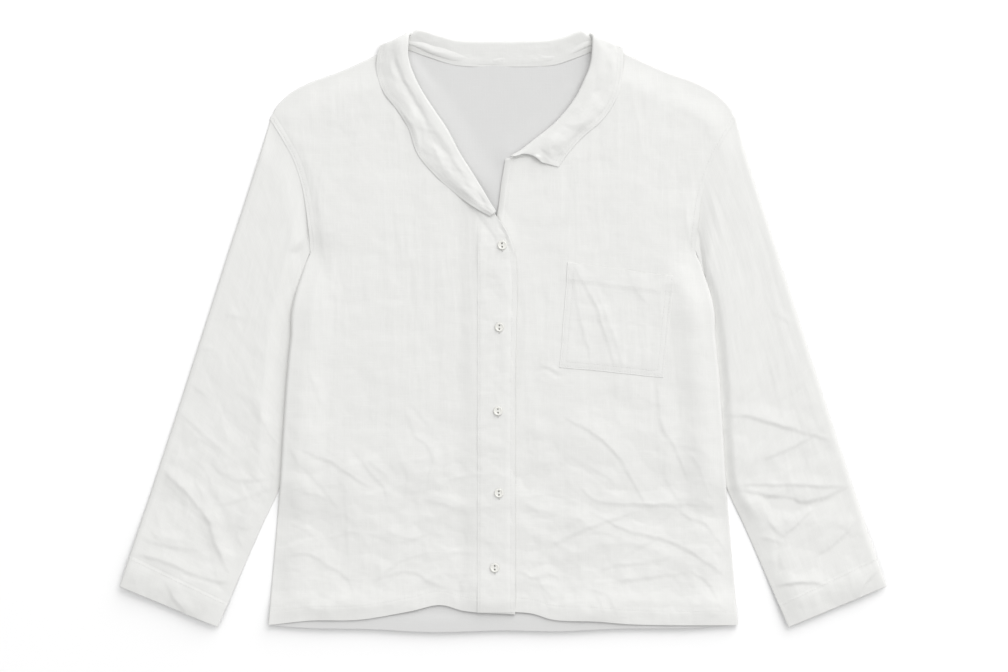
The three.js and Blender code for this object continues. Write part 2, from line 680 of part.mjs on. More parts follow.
// Shares of the sleeve's length from the armhole: its first section, and where the seam's gap and the bend
// to the armhole's curve have run out.
const SLEEVE_HEAD = { first: 0.03, clear: 0.14, curved: 0.28 };
function makeSleeve(side) {
  const hemShare = 1 - CUFF_TURN / SLEEVE_LENGTH;
  const rowShares = steps([
    { upTo: SLEEVE_HEAD.first, count: 1 },
    { upTo: hemShare - BEVEL / SLEEVE_LENGTH, count: 21 },
    { upTo: hemShare, count: 1 },
    { upTo: 1, count: 1 },
  ]);
  const outerEdge = through(SLEEVE, "outerX", "outerY");
  const innerEdge = through(SLEEVE, "innerX", "innerY");
  const tip = outerEdge(0);
  const pit = innerEdge(0);
  const round = SLEEVE_EDGE_GAP / 2;
  const middle = CLOTH + round;
  const turn = [0.25, 0.5, 0.75].map((share) => Math.PI * share);
  const inner = [];
  const outer = [];
  for (const v of rowShares) {
    const a = outerEdge(v);
    const b = innerEdge(v);
    const width = a.distanceTo(b);
    const curved = 1 - between(0, SLEEVE_HEAD.curved, v);
    const clear = SEAM_GAP * (1 - between(0, SLEEVE_HEAD.clear, v));
    const hem = v >= hemShare - 1e-9 ? HEM_EXTRA : 0;
    // A point across the sleeve, bent to the armhole's curve near the shoulder.
    const planAt = (w) => {
      const armhole = sideOutline(mix(1, ARMPIT_SHARE, w));
      return {
        x: mix(a.x, b.x, w) + curved * (armhole.x - mix(tip.x, pit.x, w)) + clear,
        y: mix(a.y, b.y, w) + curved * (armhole.y - mix(tip.y, pit.y, w)),
      };
    };
    // The upper layer stands off the lower one between the folded edges.
    const riseAt = (w, p) => {
      const free = ease((Math.min(w, 1 - w) * width - SLEEVE_LOFT.flat) / SLEEVE_LOFT.run);
      return free * (SLEEVE_LOFT.rise + Math.max(sleeveFolds(side * p.x, p.y), LEAST_AIR - SLEEVE_LOFT.rise));
    };
    const acrossAt = (w) => {
      const [p, q] = [planAt(Math.max(0, w - 0.02)), planAt(Math.min(1, w + 0.02))];
      const run = Math.hypot(q.x - p.x, q.y - p.y);
      return { x: (q.x - p.x) / run, y: (q.y - p.y) / run };
    };
    const ringInner = [];
    const ringOuter = [];
    const put = (w, shift, zInner, zOuter, outward = 0) => {
      const p = planAt(w);
      const along = acrossAt(w);
      const place = (offset, z) =>
        new THREE.Vector3(side * (p.x + along.x * offset), p.y + along.y * offset, z);
      ringInner.push(place(shift, zInner));
      ringOuter.push(place(shift + outward, zOuter));
    };
    const margin = (round + CLOTH) / width;
    const between01 = (count) => Array.from({ length: count - 1 }, (_, k) => (k + 1) / count);
    for (const w of [margin, ...between01(ARMHOLE_STEPS.back), 1 - margin]) put(w, 0, CLOTH, 0);
    for (const angle of turn) {
      const [c, s] = [Math.cos(angle), Math.sin(angle)];
      put(1 - margin, round * s, middle - round * c, middle - (round + CLOTH) * c, CLOTH * s);
    }
    for (const w of [1 - margin, ...between01(ARMHOLE_STEPS.front).reverse(), margin]) {
      const top = CLOTH + SLEEVE_EDGE_GAP + riseAt(w, planAt(w));
      put(w, 0, top, top + CLOTH + hem);
    }
    for (const angle of turn) {
      const [c, s] = [Math.cos(angle), Math.sin(angle)];
      put(margin, -round * s, middle + round * c, middle + (round + CLOTH) * c, -CLOTH * s);
    }
    inner.push(ringInner);
    outer.push(ringOuter);
  }
  return wall(inner, outer, true);
}

// ---------------------------------------------------------------- collar
const OVER = CLOTH + STACK_GAP; // from the middle of one layer to the middle of the layer above
function makeCollar(rightTop, leftTop) {
  const restOn = (topAt) => (row) => {
    const { fold, across, length } = sectionFrame(row);
    const at = (distance) => fold.clone().addScaledVector(across, distance);
    const [seam, edge] = [at(row.seam), at(length)];
    const seamZ = topAt(seam.x, seam.y, REACH.collar) + STACK_GAP + CLOTH / 2;
    const onEdge = topAt(edge.x, edge.y, REACH.collar) + STACK_GAP + CLOTH / 2;
    const overZ = seamZ + OVER;
    return {
      ...row,
      stand: { out: 0, z: row.low },
      fall: { out: 0, z: Math.max(row.high, overZ + FALL.air) },
      seamOut: 0,
      seamZ,
      overZ,
      edgeZ: length - row.seam > FALL.short ? Math.max(onEdge, overZ - FALL.drop) : overZ,
    };
  };
  const underBack = (row) => ({
    ...row,
    stand: { out: 0, z: TURN.standLow },
    fall: { out: 0, z: TURN.fallLow },
    seamOut: 0,
    seamZ: CLOTH + STACK_GAP + CLOTH / 2,
    overZ: TURN.fallLow,
    edgeZ: TURN.fallLow,
  });
  const rows = [
    ...COLLAR_RIGHT.map(restOn(rightTop)),
    ...turnRows(TURN_RIGHT),
    ...COLLAR_BACK.map(underBack),
    ...turnRows(TURN_LEFT).reverse(),
    ...COLLAR_LEFT.map(restOn(leftTop)),
  ];
  // Points across a section, from the seam over the fold to the edge of the fall, on the cloth's two faces.
  const sections = rows.map((row) => {
    const { fold, across, out, length } = sectionFrame(row);
    const { stand, fall } = row;
    const apart = new THREE.Vector2(fall.out - stand.out, fall.z - stand.z);
    const round = apart.length() / 2;
    const up = apart.clone().normalize();
    const over = Math.min(row.seam + FALL.pastSeam, length - FALL.leastRun);
    const middle = { out: (stand.out + fall.out) / 2, z: (stand.z + fall.z) / 2 };
    // A point at a distance across, with the way into the fold as its share across and its share up.
    const at = (p, offset, z, inAcross, inUp) => ({ p, offset, z, inAcross, inUp });
    const points = [
      ...[0, 0.5, 1].map((t) =>
        at(mix(row.seam, round, t), mix(row.seamOut, stand.out, t), mix(row.seamZ, stand.z, ease(t)), 0, 1),
      ),
      ...[0.25, 0.5, 0.75].map((t) => {
        const [c, s] = [Math.cos(Math.PI * t), Math.sin(Math.PI * t)];
        return at(round - round * s, middle.out - up.x * round * c, middle.z - up.y * round * c, s, c);
      }),
      at(round, fall.out, fall.z, 0, -1),
      at(mix(round, over, BELLY.run), fall.out, mix(fall.z, row.overZ, BELLY.nearFold), 0, -1),
      at(over, fall.out, row.overZ, 0, -1),
      at(mix(over, length, BELLY.run), fall.out, mix(row.overZ, row.edgeZ, BELLY.nearEdge), 0, -1),
      at(length, fall.out, row.edgeZ, 0, -1),
    ];
    return (half) =>
      points.map(({ p, offset, z, inAcross, inUp }) => {
        const reach = p + half * inAcross;
        const outward = offset + half * inUp * up.x;
        return new THREE.Vector3(
          fold.x + across.x * reach + out.x * outward,
          fold.y + across.y * reach + out.y * outward,
          z + half * inUp * up.y,
        );
      });
  });
  // Each face is smooth along the band.
  const along = 2 * (sections.length - 1);
  const face = (half) => {
    const faces = sections.map((section) => section(half));
    const lines = faces[0].map((_, k) => {
      const spline = new THREE.CatmullRomCurve3(faces.map((points) => points[k]), false, "centripetal");
      return Array.from({ length: along + 1 }, (_, i) => spline.getPoint(i / along));
    });
    return Array.from({ length: along + 1 }, (_, i) => lines.map((line) => line[i]));
  };
  return wall(face(CLOTH / 2), face(-CLOTH / 2));
}

// ---------------------------------------------------------------- the garment
const linen = (color) => new THREE.MeshStandardMaterial({ color, roughness: 0.92, metalness: 0 });
const shell = () => new THREE.MeshStandardMaterial({ color: 0xecebe0, roughness: 0.35, metalness: 0 });

const wasm = await Module();
wasm.setup();

const garment = new THREE.Group();
garment.name = "button_up_shirt";
const add = (name, geometry, material) => {
  const mesh = new THREE.Mesh(geometry, material);
  mesh.name = name;
  garment.add(mesh);
  return mesh;
};
const addPanel = (name, panel, color) => add(name, wall(panel.low, panel.high), linen(color));

const frontRight = makeFront(-1, RIGHT_HEM, RIGHT_EDGE, COLLAR_RIGHT, 0, rightUnder);
const frontLeft = makeFront(1, LEFT_HEM, LEFT_EDGE, [...COLLAR_LEFT].reverse(), 3, frontUnder);
const rightTop = topOf(frontRight);
const leftTop = topOf(frontLeft);
const band = makeBand(rightTop);

addPanel("back", makeBack(), 0xdfdfdd);
addPanel("front_right", frontRight, 0xececea);
addPanel("front_left", frontLeft, 0xececea);
addPanel("placket", band, 0xededeb);
addPanel("pocket", makePocket(leftTop), 0xefefed);
add("collar", makeCollar(rightTop, leftTop), linen(0xececea));
add("sleeve_right", makeSleeve(-1), linen(0xeaeae8));
add("sleeve_left", makeSleeve(1), linen(0xeeeeec));

const bandTop = topOf(band);
BUTTON_SPOTS.forEach(({ x, y }, i) => {
  const button = add(`button_${i + 1}`, makeButton(wasm), shell());
  const under = Math.max(bandTop(x, y, BUTTON.radius), rightTop(x, y, BUTTON.radius));
  button.position.set(x, y, under + STACK_GAP / 2);
});

// The origin is the middle of the box's underside.
const box = new THREE.Box3().setFromObject(garment, true);
const centre = box.getCenter(new THREE.Vector3());
garment.position.set(-centre.x, -centre.y, -box.min.z);

export default garment;
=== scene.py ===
"""The looks of a button-up shirt of crumpled white linen, laid on its back with its front up.

Lengths are millimetres in the plan of the garment: +X is across the shirt, +Y runs from the hem to the
collar and +Z is up from the surface. The wearer's right side is at -X and laps over the left. Meshes are
made in these millimetres, and place() moves them into the row frame, in metres.
"""
import json
import math

import bpy
import numpy as np
from mathutils import Matrix, Vector
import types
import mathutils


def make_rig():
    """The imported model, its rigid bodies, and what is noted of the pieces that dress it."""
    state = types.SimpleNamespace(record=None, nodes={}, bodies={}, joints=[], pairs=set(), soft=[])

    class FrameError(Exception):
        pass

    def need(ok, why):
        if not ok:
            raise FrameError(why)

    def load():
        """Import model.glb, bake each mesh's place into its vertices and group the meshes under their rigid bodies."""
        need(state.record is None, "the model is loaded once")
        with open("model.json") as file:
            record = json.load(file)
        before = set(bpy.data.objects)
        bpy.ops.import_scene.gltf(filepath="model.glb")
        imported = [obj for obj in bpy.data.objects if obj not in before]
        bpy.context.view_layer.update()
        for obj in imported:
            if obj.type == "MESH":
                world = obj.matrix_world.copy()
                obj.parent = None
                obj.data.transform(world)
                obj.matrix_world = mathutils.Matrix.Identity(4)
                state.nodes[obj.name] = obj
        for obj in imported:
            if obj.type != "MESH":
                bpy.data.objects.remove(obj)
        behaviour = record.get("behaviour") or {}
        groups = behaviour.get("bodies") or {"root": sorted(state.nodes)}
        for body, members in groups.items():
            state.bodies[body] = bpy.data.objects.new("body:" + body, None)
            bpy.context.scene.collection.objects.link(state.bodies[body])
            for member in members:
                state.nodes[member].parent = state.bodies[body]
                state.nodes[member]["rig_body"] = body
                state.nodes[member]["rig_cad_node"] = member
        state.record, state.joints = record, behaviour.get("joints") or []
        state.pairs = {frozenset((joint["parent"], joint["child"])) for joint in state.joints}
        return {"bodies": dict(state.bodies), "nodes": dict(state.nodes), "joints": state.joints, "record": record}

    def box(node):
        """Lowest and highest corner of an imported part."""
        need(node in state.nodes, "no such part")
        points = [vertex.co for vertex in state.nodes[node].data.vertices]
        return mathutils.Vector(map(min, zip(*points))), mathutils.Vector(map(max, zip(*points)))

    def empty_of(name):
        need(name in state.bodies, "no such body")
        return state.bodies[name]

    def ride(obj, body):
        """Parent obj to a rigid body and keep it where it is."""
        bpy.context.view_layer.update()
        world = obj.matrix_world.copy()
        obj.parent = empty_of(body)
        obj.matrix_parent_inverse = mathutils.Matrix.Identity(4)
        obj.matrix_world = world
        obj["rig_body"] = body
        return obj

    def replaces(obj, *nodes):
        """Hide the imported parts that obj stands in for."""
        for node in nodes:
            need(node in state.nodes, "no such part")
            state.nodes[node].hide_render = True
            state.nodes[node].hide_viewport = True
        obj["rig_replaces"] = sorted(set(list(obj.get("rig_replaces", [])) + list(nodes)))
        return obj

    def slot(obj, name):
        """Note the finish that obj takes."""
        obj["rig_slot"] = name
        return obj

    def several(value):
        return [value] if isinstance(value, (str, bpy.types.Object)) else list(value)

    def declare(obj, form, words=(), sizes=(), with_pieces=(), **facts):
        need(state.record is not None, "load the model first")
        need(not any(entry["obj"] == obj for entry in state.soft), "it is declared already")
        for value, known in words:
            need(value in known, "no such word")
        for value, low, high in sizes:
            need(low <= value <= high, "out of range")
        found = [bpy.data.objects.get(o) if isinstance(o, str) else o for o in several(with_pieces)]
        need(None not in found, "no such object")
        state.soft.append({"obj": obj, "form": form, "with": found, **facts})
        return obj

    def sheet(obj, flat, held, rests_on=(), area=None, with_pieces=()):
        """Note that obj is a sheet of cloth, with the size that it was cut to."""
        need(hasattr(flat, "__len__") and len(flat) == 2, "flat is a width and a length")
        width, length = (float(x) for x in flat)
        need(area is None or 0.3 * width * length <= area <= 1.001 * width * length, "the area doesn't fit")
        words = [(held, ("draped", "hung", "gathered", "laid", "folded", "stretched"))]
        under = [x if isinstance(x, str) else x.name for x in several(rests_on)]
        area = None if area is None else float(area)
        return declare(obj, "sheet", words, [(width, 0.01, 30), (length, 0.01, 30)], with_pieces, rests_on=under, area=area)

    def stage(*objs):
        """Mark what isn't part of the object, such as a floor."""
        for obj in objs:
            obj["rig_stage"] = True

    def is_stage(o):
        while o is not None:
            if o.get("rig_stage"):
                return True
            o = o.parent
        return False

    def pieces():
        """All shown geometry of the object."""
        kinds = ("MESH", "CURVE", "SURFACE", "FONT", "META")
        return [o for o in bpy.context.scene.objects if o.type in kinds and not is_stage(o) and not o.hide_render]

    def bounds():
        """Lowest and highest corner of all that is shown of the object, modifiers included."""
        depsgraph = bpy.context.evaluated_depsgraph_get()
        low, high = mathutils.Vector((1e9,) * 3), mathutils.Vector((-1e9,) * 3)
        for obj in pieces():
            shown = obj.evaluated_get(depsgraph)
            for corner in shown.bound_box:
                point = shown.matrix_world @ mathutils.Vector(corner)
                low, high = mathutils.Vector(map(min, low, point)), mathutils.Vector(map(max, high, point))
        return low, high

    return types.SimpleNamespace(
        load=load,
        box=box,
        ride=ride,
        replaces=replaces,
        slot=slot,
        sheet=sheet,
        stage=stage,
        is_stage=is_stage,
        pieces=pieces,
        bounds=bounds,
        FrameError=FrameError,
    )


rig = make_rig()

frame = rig.load()
CAD_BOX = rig.bounds()

# ---------------------------------------------------------------- driving sizes
CLOTH = 1.4  # one layer of cloth, with the air that it holds
LOWEST = 0.1  # the least height of any point over the surface
STACK_GAP = 0.6  # between a piece and the piece that it lies on
LOFT = 1.7  # how far the front stands off the back inside the seams
LOFT_RUN = 34  # distance from a closed seam to the full loft
ROLL = 2.0  # distance over which a sleeve's folded edge rolls up to its full height
SEAM_HEIGHT = 1.9  # height of the two layers where a closed seam presses them
RIGHT_SEAM_RISE = 1.3  # extra height of the right side seam where it lies over the sleeve
SWELL = {"front": 0.5, "sleeve": 0.8}  # of the cloth on both sides of the valley between body and sleeve

HEM_TURN = 18  # depth of the turned hem of the body
HEM_EXTRA = 0.9  # extra thickness of a turned hem
HEM_STITCH = 1.5  # between the inner end of a turned hem and its stitches
OVER_HEM = (26, 44)  # the fronts come down from over the back's hem between these, along Y
HEM_CURL = 4.5  # rise of the body's hem at its edge
HEM_EDGE = 0.95  # height of a settled edge over the layer below
CUFF_TURN = {-1: 35, 1: 34}  # depth of the turned cuff on the wearer's right and left
CUFF_CURL = 5.2  # rise of a cuff at its edge
SETTLE = {"body": 28, "cuff": 30}  # distance over which an open hem settles onto the layer below

SHOULDER_TIP_Y = 561
ARMPIT_Y = 414
NECK_CORNER = (126, 637.5)
NECK_LAP = 2  # how far the neck edges go past the collar's seam
NECK_SHARE = 0.27  # share of the back's top edge that one shoulder takes
ARMHOLE_STEPS = 9
ARM_LAP = 1.0  # how far the front's armhole edge lies over the sleeve's head
ARM_STITCH = 7  # distance of the armhole's stitches from its seam
ARM_PRESS = 1.3  # how far the armhole's seam is pressed down
PIT_DROP = 2.8  # how far the sleeve lies below the front's edge at the armpit
PIT_LAP = 3.0  # how far the body's side lies over the sleeve just below the armpit

FRONT_WIDTH = 271
BACK_WIDTH = 516
BACK_INSET = 1.1  # how far the back's closed edges lie inside the fronts'
BACK_WALL = {"clear": 0.12, "thick": 0.9}  # clearance under the back, and its thickness
BACK_PAINTED_SHADE = (40, 420)  # below and above these along Y, the back's upper faces take the greyer linen, painted shade for the shade in the neck opening and under the fronts' hem
SIDE_LENGTH = 632  # hem to shoulder tip along the side seam and the armhole
SLEEVE_LENGTH = 555
SLEEVE_WIDTH = 150  # of one layer of the cut cloth
SLEEVE_EDGE_GAP = 1
SLEEVE_UNDERSIDE = 0.15  # height of a sleeve's lower layer
SLEEVE_UNDER_RUN = 22  # distance from a folded edge to the full form of the lower layer
SLEEVE_LOW, SLEEVE_HIGH = 1.1, 4.9  # height of a sleeve's top where it is pressed flat, and where it is loose
RIM_REACH = 6  # lines of a sheet that tell which way its border looks
STEP = {"front": 1.45, "back": 3.3, "sleeve": 1.75, "sleeve_under": 3.6, "band": (1.1, 1.3), "pocket": 1.15,
        "collar": 1.35}  # distance between two lines of points

# The body's sides over the sleeves: how high they lift the back, and between which heights along Y.
TUCK = {"lift": 2 * CLOTH + SLEEVE_EDGE_GAP + 0.7, "flat": 15, "run": 36, "low": (112, 172),
        "high": (350, 410)}
# The right front's lap over the left, along X: its edge, the inner side of the band on it, and where it
# starts to rise. Then how far it rises, and where along Y the left front's hem adds to that.
LAP = {"edge": 13, "stitch": -28, "from": -50, "raise": CLOTH + 0.9, "hem": (44, 66)}
# The buttonhole band: its ends along Y, its distance from the lap's edge, its width, its rows of stitches.
BAND = {"low": 19, "top": 444, "inset": 0.4, "width": 41, "stitches": (2, 37)}
FACING = {"width": 9, "from": (400, 425)}  # turned edge of the left front over the band
# The pocket: the depth of its turned mouth, its size, its rows of stitches and its corners.
POCKET = {"mouth": 21, "wide": 116, "high": 115, "stitches": (2, 7), "top_in": (71, 403),
          "top_out": (187, 388), "low_in": (62, 288), "low_out": (176, 277)}
# The face's height is a share of the thickness, and from_middle is where the holes are.
BUTTON = {"radius": 5, "thick": 1.7, "face": 0.72, "from_middle": 1.9, "bore": 0.9, "rests_on": 4.2,
          "shade": 3.6, "thread": 0.15}
BUTTON_SPOTS = [(-1, 422), (-4, 332), (-5.5, 240), (-4.5, 150), (-9, 68)]
BUTTONHOLE = {"half": 5.6, "below": 1.2, "beside": 0.75, "thread": 0.32}

# Half width of the body: side seam up to the armpit, then the armhole up to the shoulder tip. (y, half)
OUTLINE = [(5, 258), (60, 253.5), (150, 246), (225, 241.5), (308, 235), (362, 227), (ARMPIT_Y, 212),
           (446, 213.5), (485, 219.5), (515, 229), (541, 243), (SHOULDER_TIP_Y, 255.5)]
# Shoulder line from the tip to the corner of the neck. (x, y)
SHOULDER = [(255.5, SHOULDER_TIP_Y), (250, 573), (234, 589), (212, 601), (179, 613), (150, 626), NECK_CORNER]
# Hems and the fronts' free edges. (x, y)
BACK_HEM = [(-258, 5), (-212, 1.5), (-150, 0.5), (-75, -3), (0, -1), (60, -2), (130, 1), (205, 1.5), (258, 5)]
RIGHT_HEM = [(-258, 5), (-212, 10), (-158, 11), (-103, 20), (-69, 27), (-42, 20.5), (LAP["edge"], 17)]
LEFT_HEM = [(258, 5), (192, 5), (141, 6), (102, 9), (55, 11), (30, 18), (-26, 20)]
RIGHT_EDGE = [*((LAP["edge"], y) for y in (17, 140, 280, 410)), (4, 437), (-9, 456)]
LEFT_EDGE = [(-26, 20), (-25, 180), (-24, 320), (-19, 400), (-12, 435), (-5.5, 460), (-1.5, 490), (3, 517)]

# Collar: one folded band, a row for each section across it. fold and edge are the fold line and the free
# edge of the fall in plan, seam is how far the neckline seam lies from the fold, low and high are the
# heights of the stand and of the fall at the fold. The first rows are on the wearer's right front.
# (fold x, fold y, edge x, edge y, seam, low, high)
COLLAR_RIGHT = [
    (-8, 459, -14, 454, 6, 8.7, 12),
    (-18, 475, -31, 463.5, 10, 8.3, 11.8),
    (-30, 495, -49, 476.5, 16, 7, 11),
    (-47, 522, -75, 499.5, 20, 5.4, 10.6),
    (-62, 550, -94, 523, 22, 5.4, 10.6),
    (-75, 569, -103.5, 550, 20, 5.4, 10.8),
    (-86, 586, -116, 570.5, 20, 5.6, 11.2),
    (-97, 606, -131.5, 591, 22, 6, 11.8),
    (-104, 628, -139, 616, 23, 6.8, 12.5),
]
COLLAR_LEFT = [
    (96, 621, 130.5, 609, 22, 6.8, 12.5),
    (89, 602, 125, 585, 22, 6, 11.8),
    (77, 580, 110, 561, 22, 5.6, 11.2),
    (58, 557, 86, 539.5, 21, 5.4, 10.6),
    (35, 538, 69, 520, 18, 5.4, 10),
    (12, 521, 61, 508, 7, 6.1, 10),
]
# Where the band turns from on the fronts to under the back: the fold and the edge in plan and the seam as
# above, the angles of the sections through the turn, and its heights on top and down below.
TURN_RIGHT = (-104, 649, -136, 638, 24)
TURN_LEFT = (98.5, 648, 131, 637, 21.5)
TURN_ANGLES = [0, 45, 90, 135]
TURN = {"stand_top": 7.2, "fall_top": 10.8, "stand_low": 3.1, "fall_low": CLOTH / 2 + 0.3, "drop": 6,
        "seam": (6.2, 1.0)}
COLLAR_BACK = [
    (-92, 658, -104, 641, 25.5),
    (-70, 652, -76, 630, 26),
    (-49, 647, -52, 623, 27.5),
    (0, 646, 0, 621, 28),
    (51, 647, 54, 623, 27.5),
    (70, 651.5, 75, 630, 26),
    (86.5, 656.5, 98.5, 640, 25),
]

# Sleeves from the armhole to the cuff: the folded outer and inner edges. Mirrored for the other side.
SLEEVE_OUTER = [(255.5, SHOULDER_TIP_Y), (260, 546), (264, 533), (277, 492), (301, 418), (333, 318),
                (364, 222), (388, 149), (407, 91), (421, 48)]
SLEEVE_INNER = [(212, ARMPIT_Y), (217.6, 400), (222.8, 384), (229.4, 355), (228, 300), (233, 225),
                (243.5, 162), (265.5, 112), (292, 52), (313, 3)]

# Creases, one by one: the line that each runs along, how far it rises over the cloth round it, negative for a
# trough, how far its gentle side reaches and, where it isn't STEEP, how far its steep side reaches.
# (line, rise, reach[, steep reach])
BODY_CREASES = [
    # wearer's right front
    ([(-222, 198), (-191, 186), (-170, 172), (-144, 156)], 1.0, 20),
    ([(-236, 212), (-231, 196), (-222, 180)], 0.5, 10),
    ([(-222, 178), (-206, 160), (-186, 136)], -0.6, 14),
    ([(-163, 196), (-141, 169), (-130, 156), (-125, 138)], 0.8, 18),
    ([(-148, 186), (-132, 174), (-124, 164)], 0.5, 9),
    ([(-113, 188), (-106, 177), (-104, 158), (-108, 138)], 0.45, 12),
    ([(-101, 250), (-88, 233), (-78, 222)], 0.35, 10),
    ([(-108, 244), (-94, 212), (-80, 200)], 0.4, 14),
    ([(-98, 214), (-82, 201), (-77, 186), (-83, 154)], 0.5, 13),
    ([(-76, 152), (-60, 164), (-40, 169), (-8, 173)], 0.55, 16),
    ([(-44, 180), (-26, 168)], 0.4, 8),
    ([(-90, 144), (-72, 140), (-46, 133)], 0.6, 14),
    ([(-173, 158), (-170, 108), (-168, 74)], 0.35, 12),
    ([(-160, 132), (-158, 97), (-152, 68)], 0.3, 9),
    ([(-224, 152), (-200, 147), (-180, 136)], 0.45, 12),
    ([(-242, 81), (-212, 83), (-191, 70), (-170, 57), (-162, 34)], 0.85, 20),
    ([(-236, 118), (-214, 108), (-196, 92)], 0.4, 14),
    ([(-142, 52), (-125, 68), (-109, 78), (-86, 84)], 0.8, 16),
    ([(-139, 56), (-114, 63), (-94, 62), (-72, 49), (-44, 43)], 0.75, 14),
    ([(-76, 82), (-32, 86), (-6, 83)], 0.5, 13),
    ([(-130, 110), (-102, 100), (-78, 106)], 0.4, 14),
    ([(-60, 116), (-38, 108), (-14, 112)], 0.35, 12),
    # wearer's left front
    ([(168, 276), (173, 242), (176, 221), (187, 205), (196, 184), (203, 166)], 0.95, 20),
    ([(177, 228), (181, 204), (179, 170), (187, 152), (197, 134)], 0.5, 12),
    ([(68, 233), (99, 217), (121, 198), (132, 184), (144, 163), (156, 138)], 1.0, 20),
    ([(82, 160), (101, 143), (122, 139), (152, 138), (186, 138), (224, 137)], 0.9, 16),
    ([(96, 178), (112, 170), (126, 158)], 0.4, 10),
    ([(40, 78), (55, 93), (80, 107), (107, 117), (126, 124), (152, 131)], 1.0, 18),
    ([(102, 126), (140, 109), (169, 102), (194, 93), (220, 77), (248, 56)], 1.1, 18),
    ([(188, 137), (204, 124), (222, 117), (238, 98), (252, 78)], 0.75, 15),
    ([(122, 74), (146, 90), (172, 102)], 0.6, 13),
    ([(88, 46), (114, 69), (148, 73), (188, 81)], 0.6, 14),
    ([(91, 48), (128, 55), (160, 58), (206, 63)], 0.7, 13),
    ([(92, 47), (114, 38), (131, 10)], 0.7, 14),
    ([(98, 52), (108, 30), (112, 14)], 0.4, 8),
    ([(16, 67), (32, 58), (50, 62), (66, 54)], 0.7, 9),
    ([(20, 54), (36, 50), (58, 48)], 0.5, 8),
    ([(28, 66), (34, 56), (42, 46)], -0.5, 7),
    ([(26, 142), (44, 146), (74, 141)], -0.5, 14),
    ([(30, 134), (50, 130), (72, 133)], 0.35, 10),
    ([(206, 62), (224, 48), (236, 28)], -0.9, 20),
    ([(206, 196), (216, 178), (226, 150)], 0.45, 12),
    ([(60, 110), (84, 124), (92, 138)], 0.35, 12),
    # from the collar's point to the first button
    ([(-12, 466), (-4, 450), (5, 434), (12, 412)], 2.4, 12),
    ([(-34, 462), (-20, 446), (-7, 424)], -1.8, 14),
    # puckers over the hem
    ([(20, 44), (22, 30), (24, 18)], 0.5, 6),
    ([(42, 42), (46, 28), (51, 12)], -0.5, 6),
    ([(72, 43), (64, 30), (60, 20)], 0.5, 7),
    ([(182, 24), (183, 15), (184, 6)], -0.5, 6),
    ([(-58, 44), (-52, 32), (-50, 22)], 0.4, 6),
    ([(-96, 40), (-92, 30), (-94, 20)], -0.4, 6),
    ([(-196, 32), (-192, 20), (-193, 10)], 0.3, 6),
    # chest and shoulders
    ([(41, 293), (50, 288), (61, 283)], 0.5, 6),
    ([(36, 283), (48, 286), (58, 279), (66, 280)], -0.5, 5),
    ([(200, 470), (206, 430), (214, 396)], 0.5, 12),
    ([(186, 430), (178, 408), (168, 392)], 0.35, 8),
    ([(-24, 456), (8, 424), (14, 404)], 0.5, 12),
    ([(118, 610), (126, 560), (122, 500)], 0.3, 12),
    ([(140, 600), (150, 545), (146, 480)], 0.25, 14),
    ([(-196, 520), (-202, 470), (-196, 410)], 0.4, 14),
    ([(-186, 380), (-182, 340), (-190, 300)], 0.3, 10),
    ([(-214, 290), (-206, 268), (-200, 244)], 0.35, 9),
    ([(-98, 330), (-94, 290), (-88, 262)], 0.3, 9),
]
SLEEVE_CREASES = [
    ([(-307, 345), (-297, 346), (-285, 342)], 0.45, 8),
    ([(-338, 306), (-330, 309), (-318, 309)], 0.5, 8),
    ([(-344, 272), (-334, 263), (-322, 254)], 0.5, 12),
    ([(-358, 242), (-330, 216), (-300, 190)], 0.7, 18),
    ([(-340, 214), (-322, 204), (-304, 190)], 0.4, 10),
    ([(-380, 182), (-350, 154), (-326, 124), (-312, 86), (-298, 58)], 1.0, 24),
    ([(-374, 176), (-346, 150), (-324, 122), (-310, 86), (-298, 60)], 2.0, 18, 38),
    ([(-338, 166), (-331, 152), (-327, 138)], 0.6, 8),
    ([(-318, 138), (-294, 142), (-272, 150), (-254, 154)], 0.8, 14),
    ([(-322, 184), (-300, 168), (-276, 164), (-252, 168)], 0.6, 12),
    ([(-404, 106), (-380, 96), (-352, 90), (-320, 88)], 0.6, 18),
    ([(-408, 84), (-372, 76), (-340, 62), (-298, 50)], 1.2, 16),
    ([(-369, 52), (-361, 36), (-350, 22), (-344, 8)], 1.5, 14),
    ([(-300, 120), (-284, 112), (-270, 116)], 0.4, 12),
    ([(296, 350), (306, 344), (318, 337)], 0.45, 8),
    ([(240, 236), (270, 234), (320, 220), (368, 206)], 1.4, 18, 3),
    ([(284, 186), (312, 198), (342, 214)], 1.0, 14, 3),
    ([(258, 152), (304, 142), (335, 137), (358, 144), (381, 156)], -2.4, 20, 5),
    ([(256, 158), (300, 160), (345, 158), (381, 157)], 1.3, 13, 3),
    ([(309, 104), (322, 116), (340, 133)], 1.4, 14, 3),
    ([(290, 124), (300, 110), (311, 103)], 1.2, 12),
    ([(282, 101), (296, 99), (307, 95)], 0.9, 9),
    ([(340, 80), (362, 94), (380, 112), (388, 124)], 1.0, 14),
    ([(292, 46), (312, 51), (334, 53), (354, 50)], 1.7, 16, 3),
    ([(390, 32), (398, 52), (417, 72)], 1.8, 12, 3),
    ([(330, 276), (318, 262), (296, 250)], 0.4, 14),
    ([(356, 120), (376, 112), (392, 98)], 0.4, 12),
]
POCKET_CREASES = [
    ([(74, 402), (84, 350), (100, 286)], 0.7, 12),
    ([(78, 400), (104, 352), (124, 286)], 0.9, 14),
    ([(103, 373), (120, 330), (134, 285)], 0.5, 10),
    ([(138, 392), (148, 372), (160, 358)], 0.4, 9),
    ([(122, 330), (140, 338), (160, 334)], 0.3, 8),
]
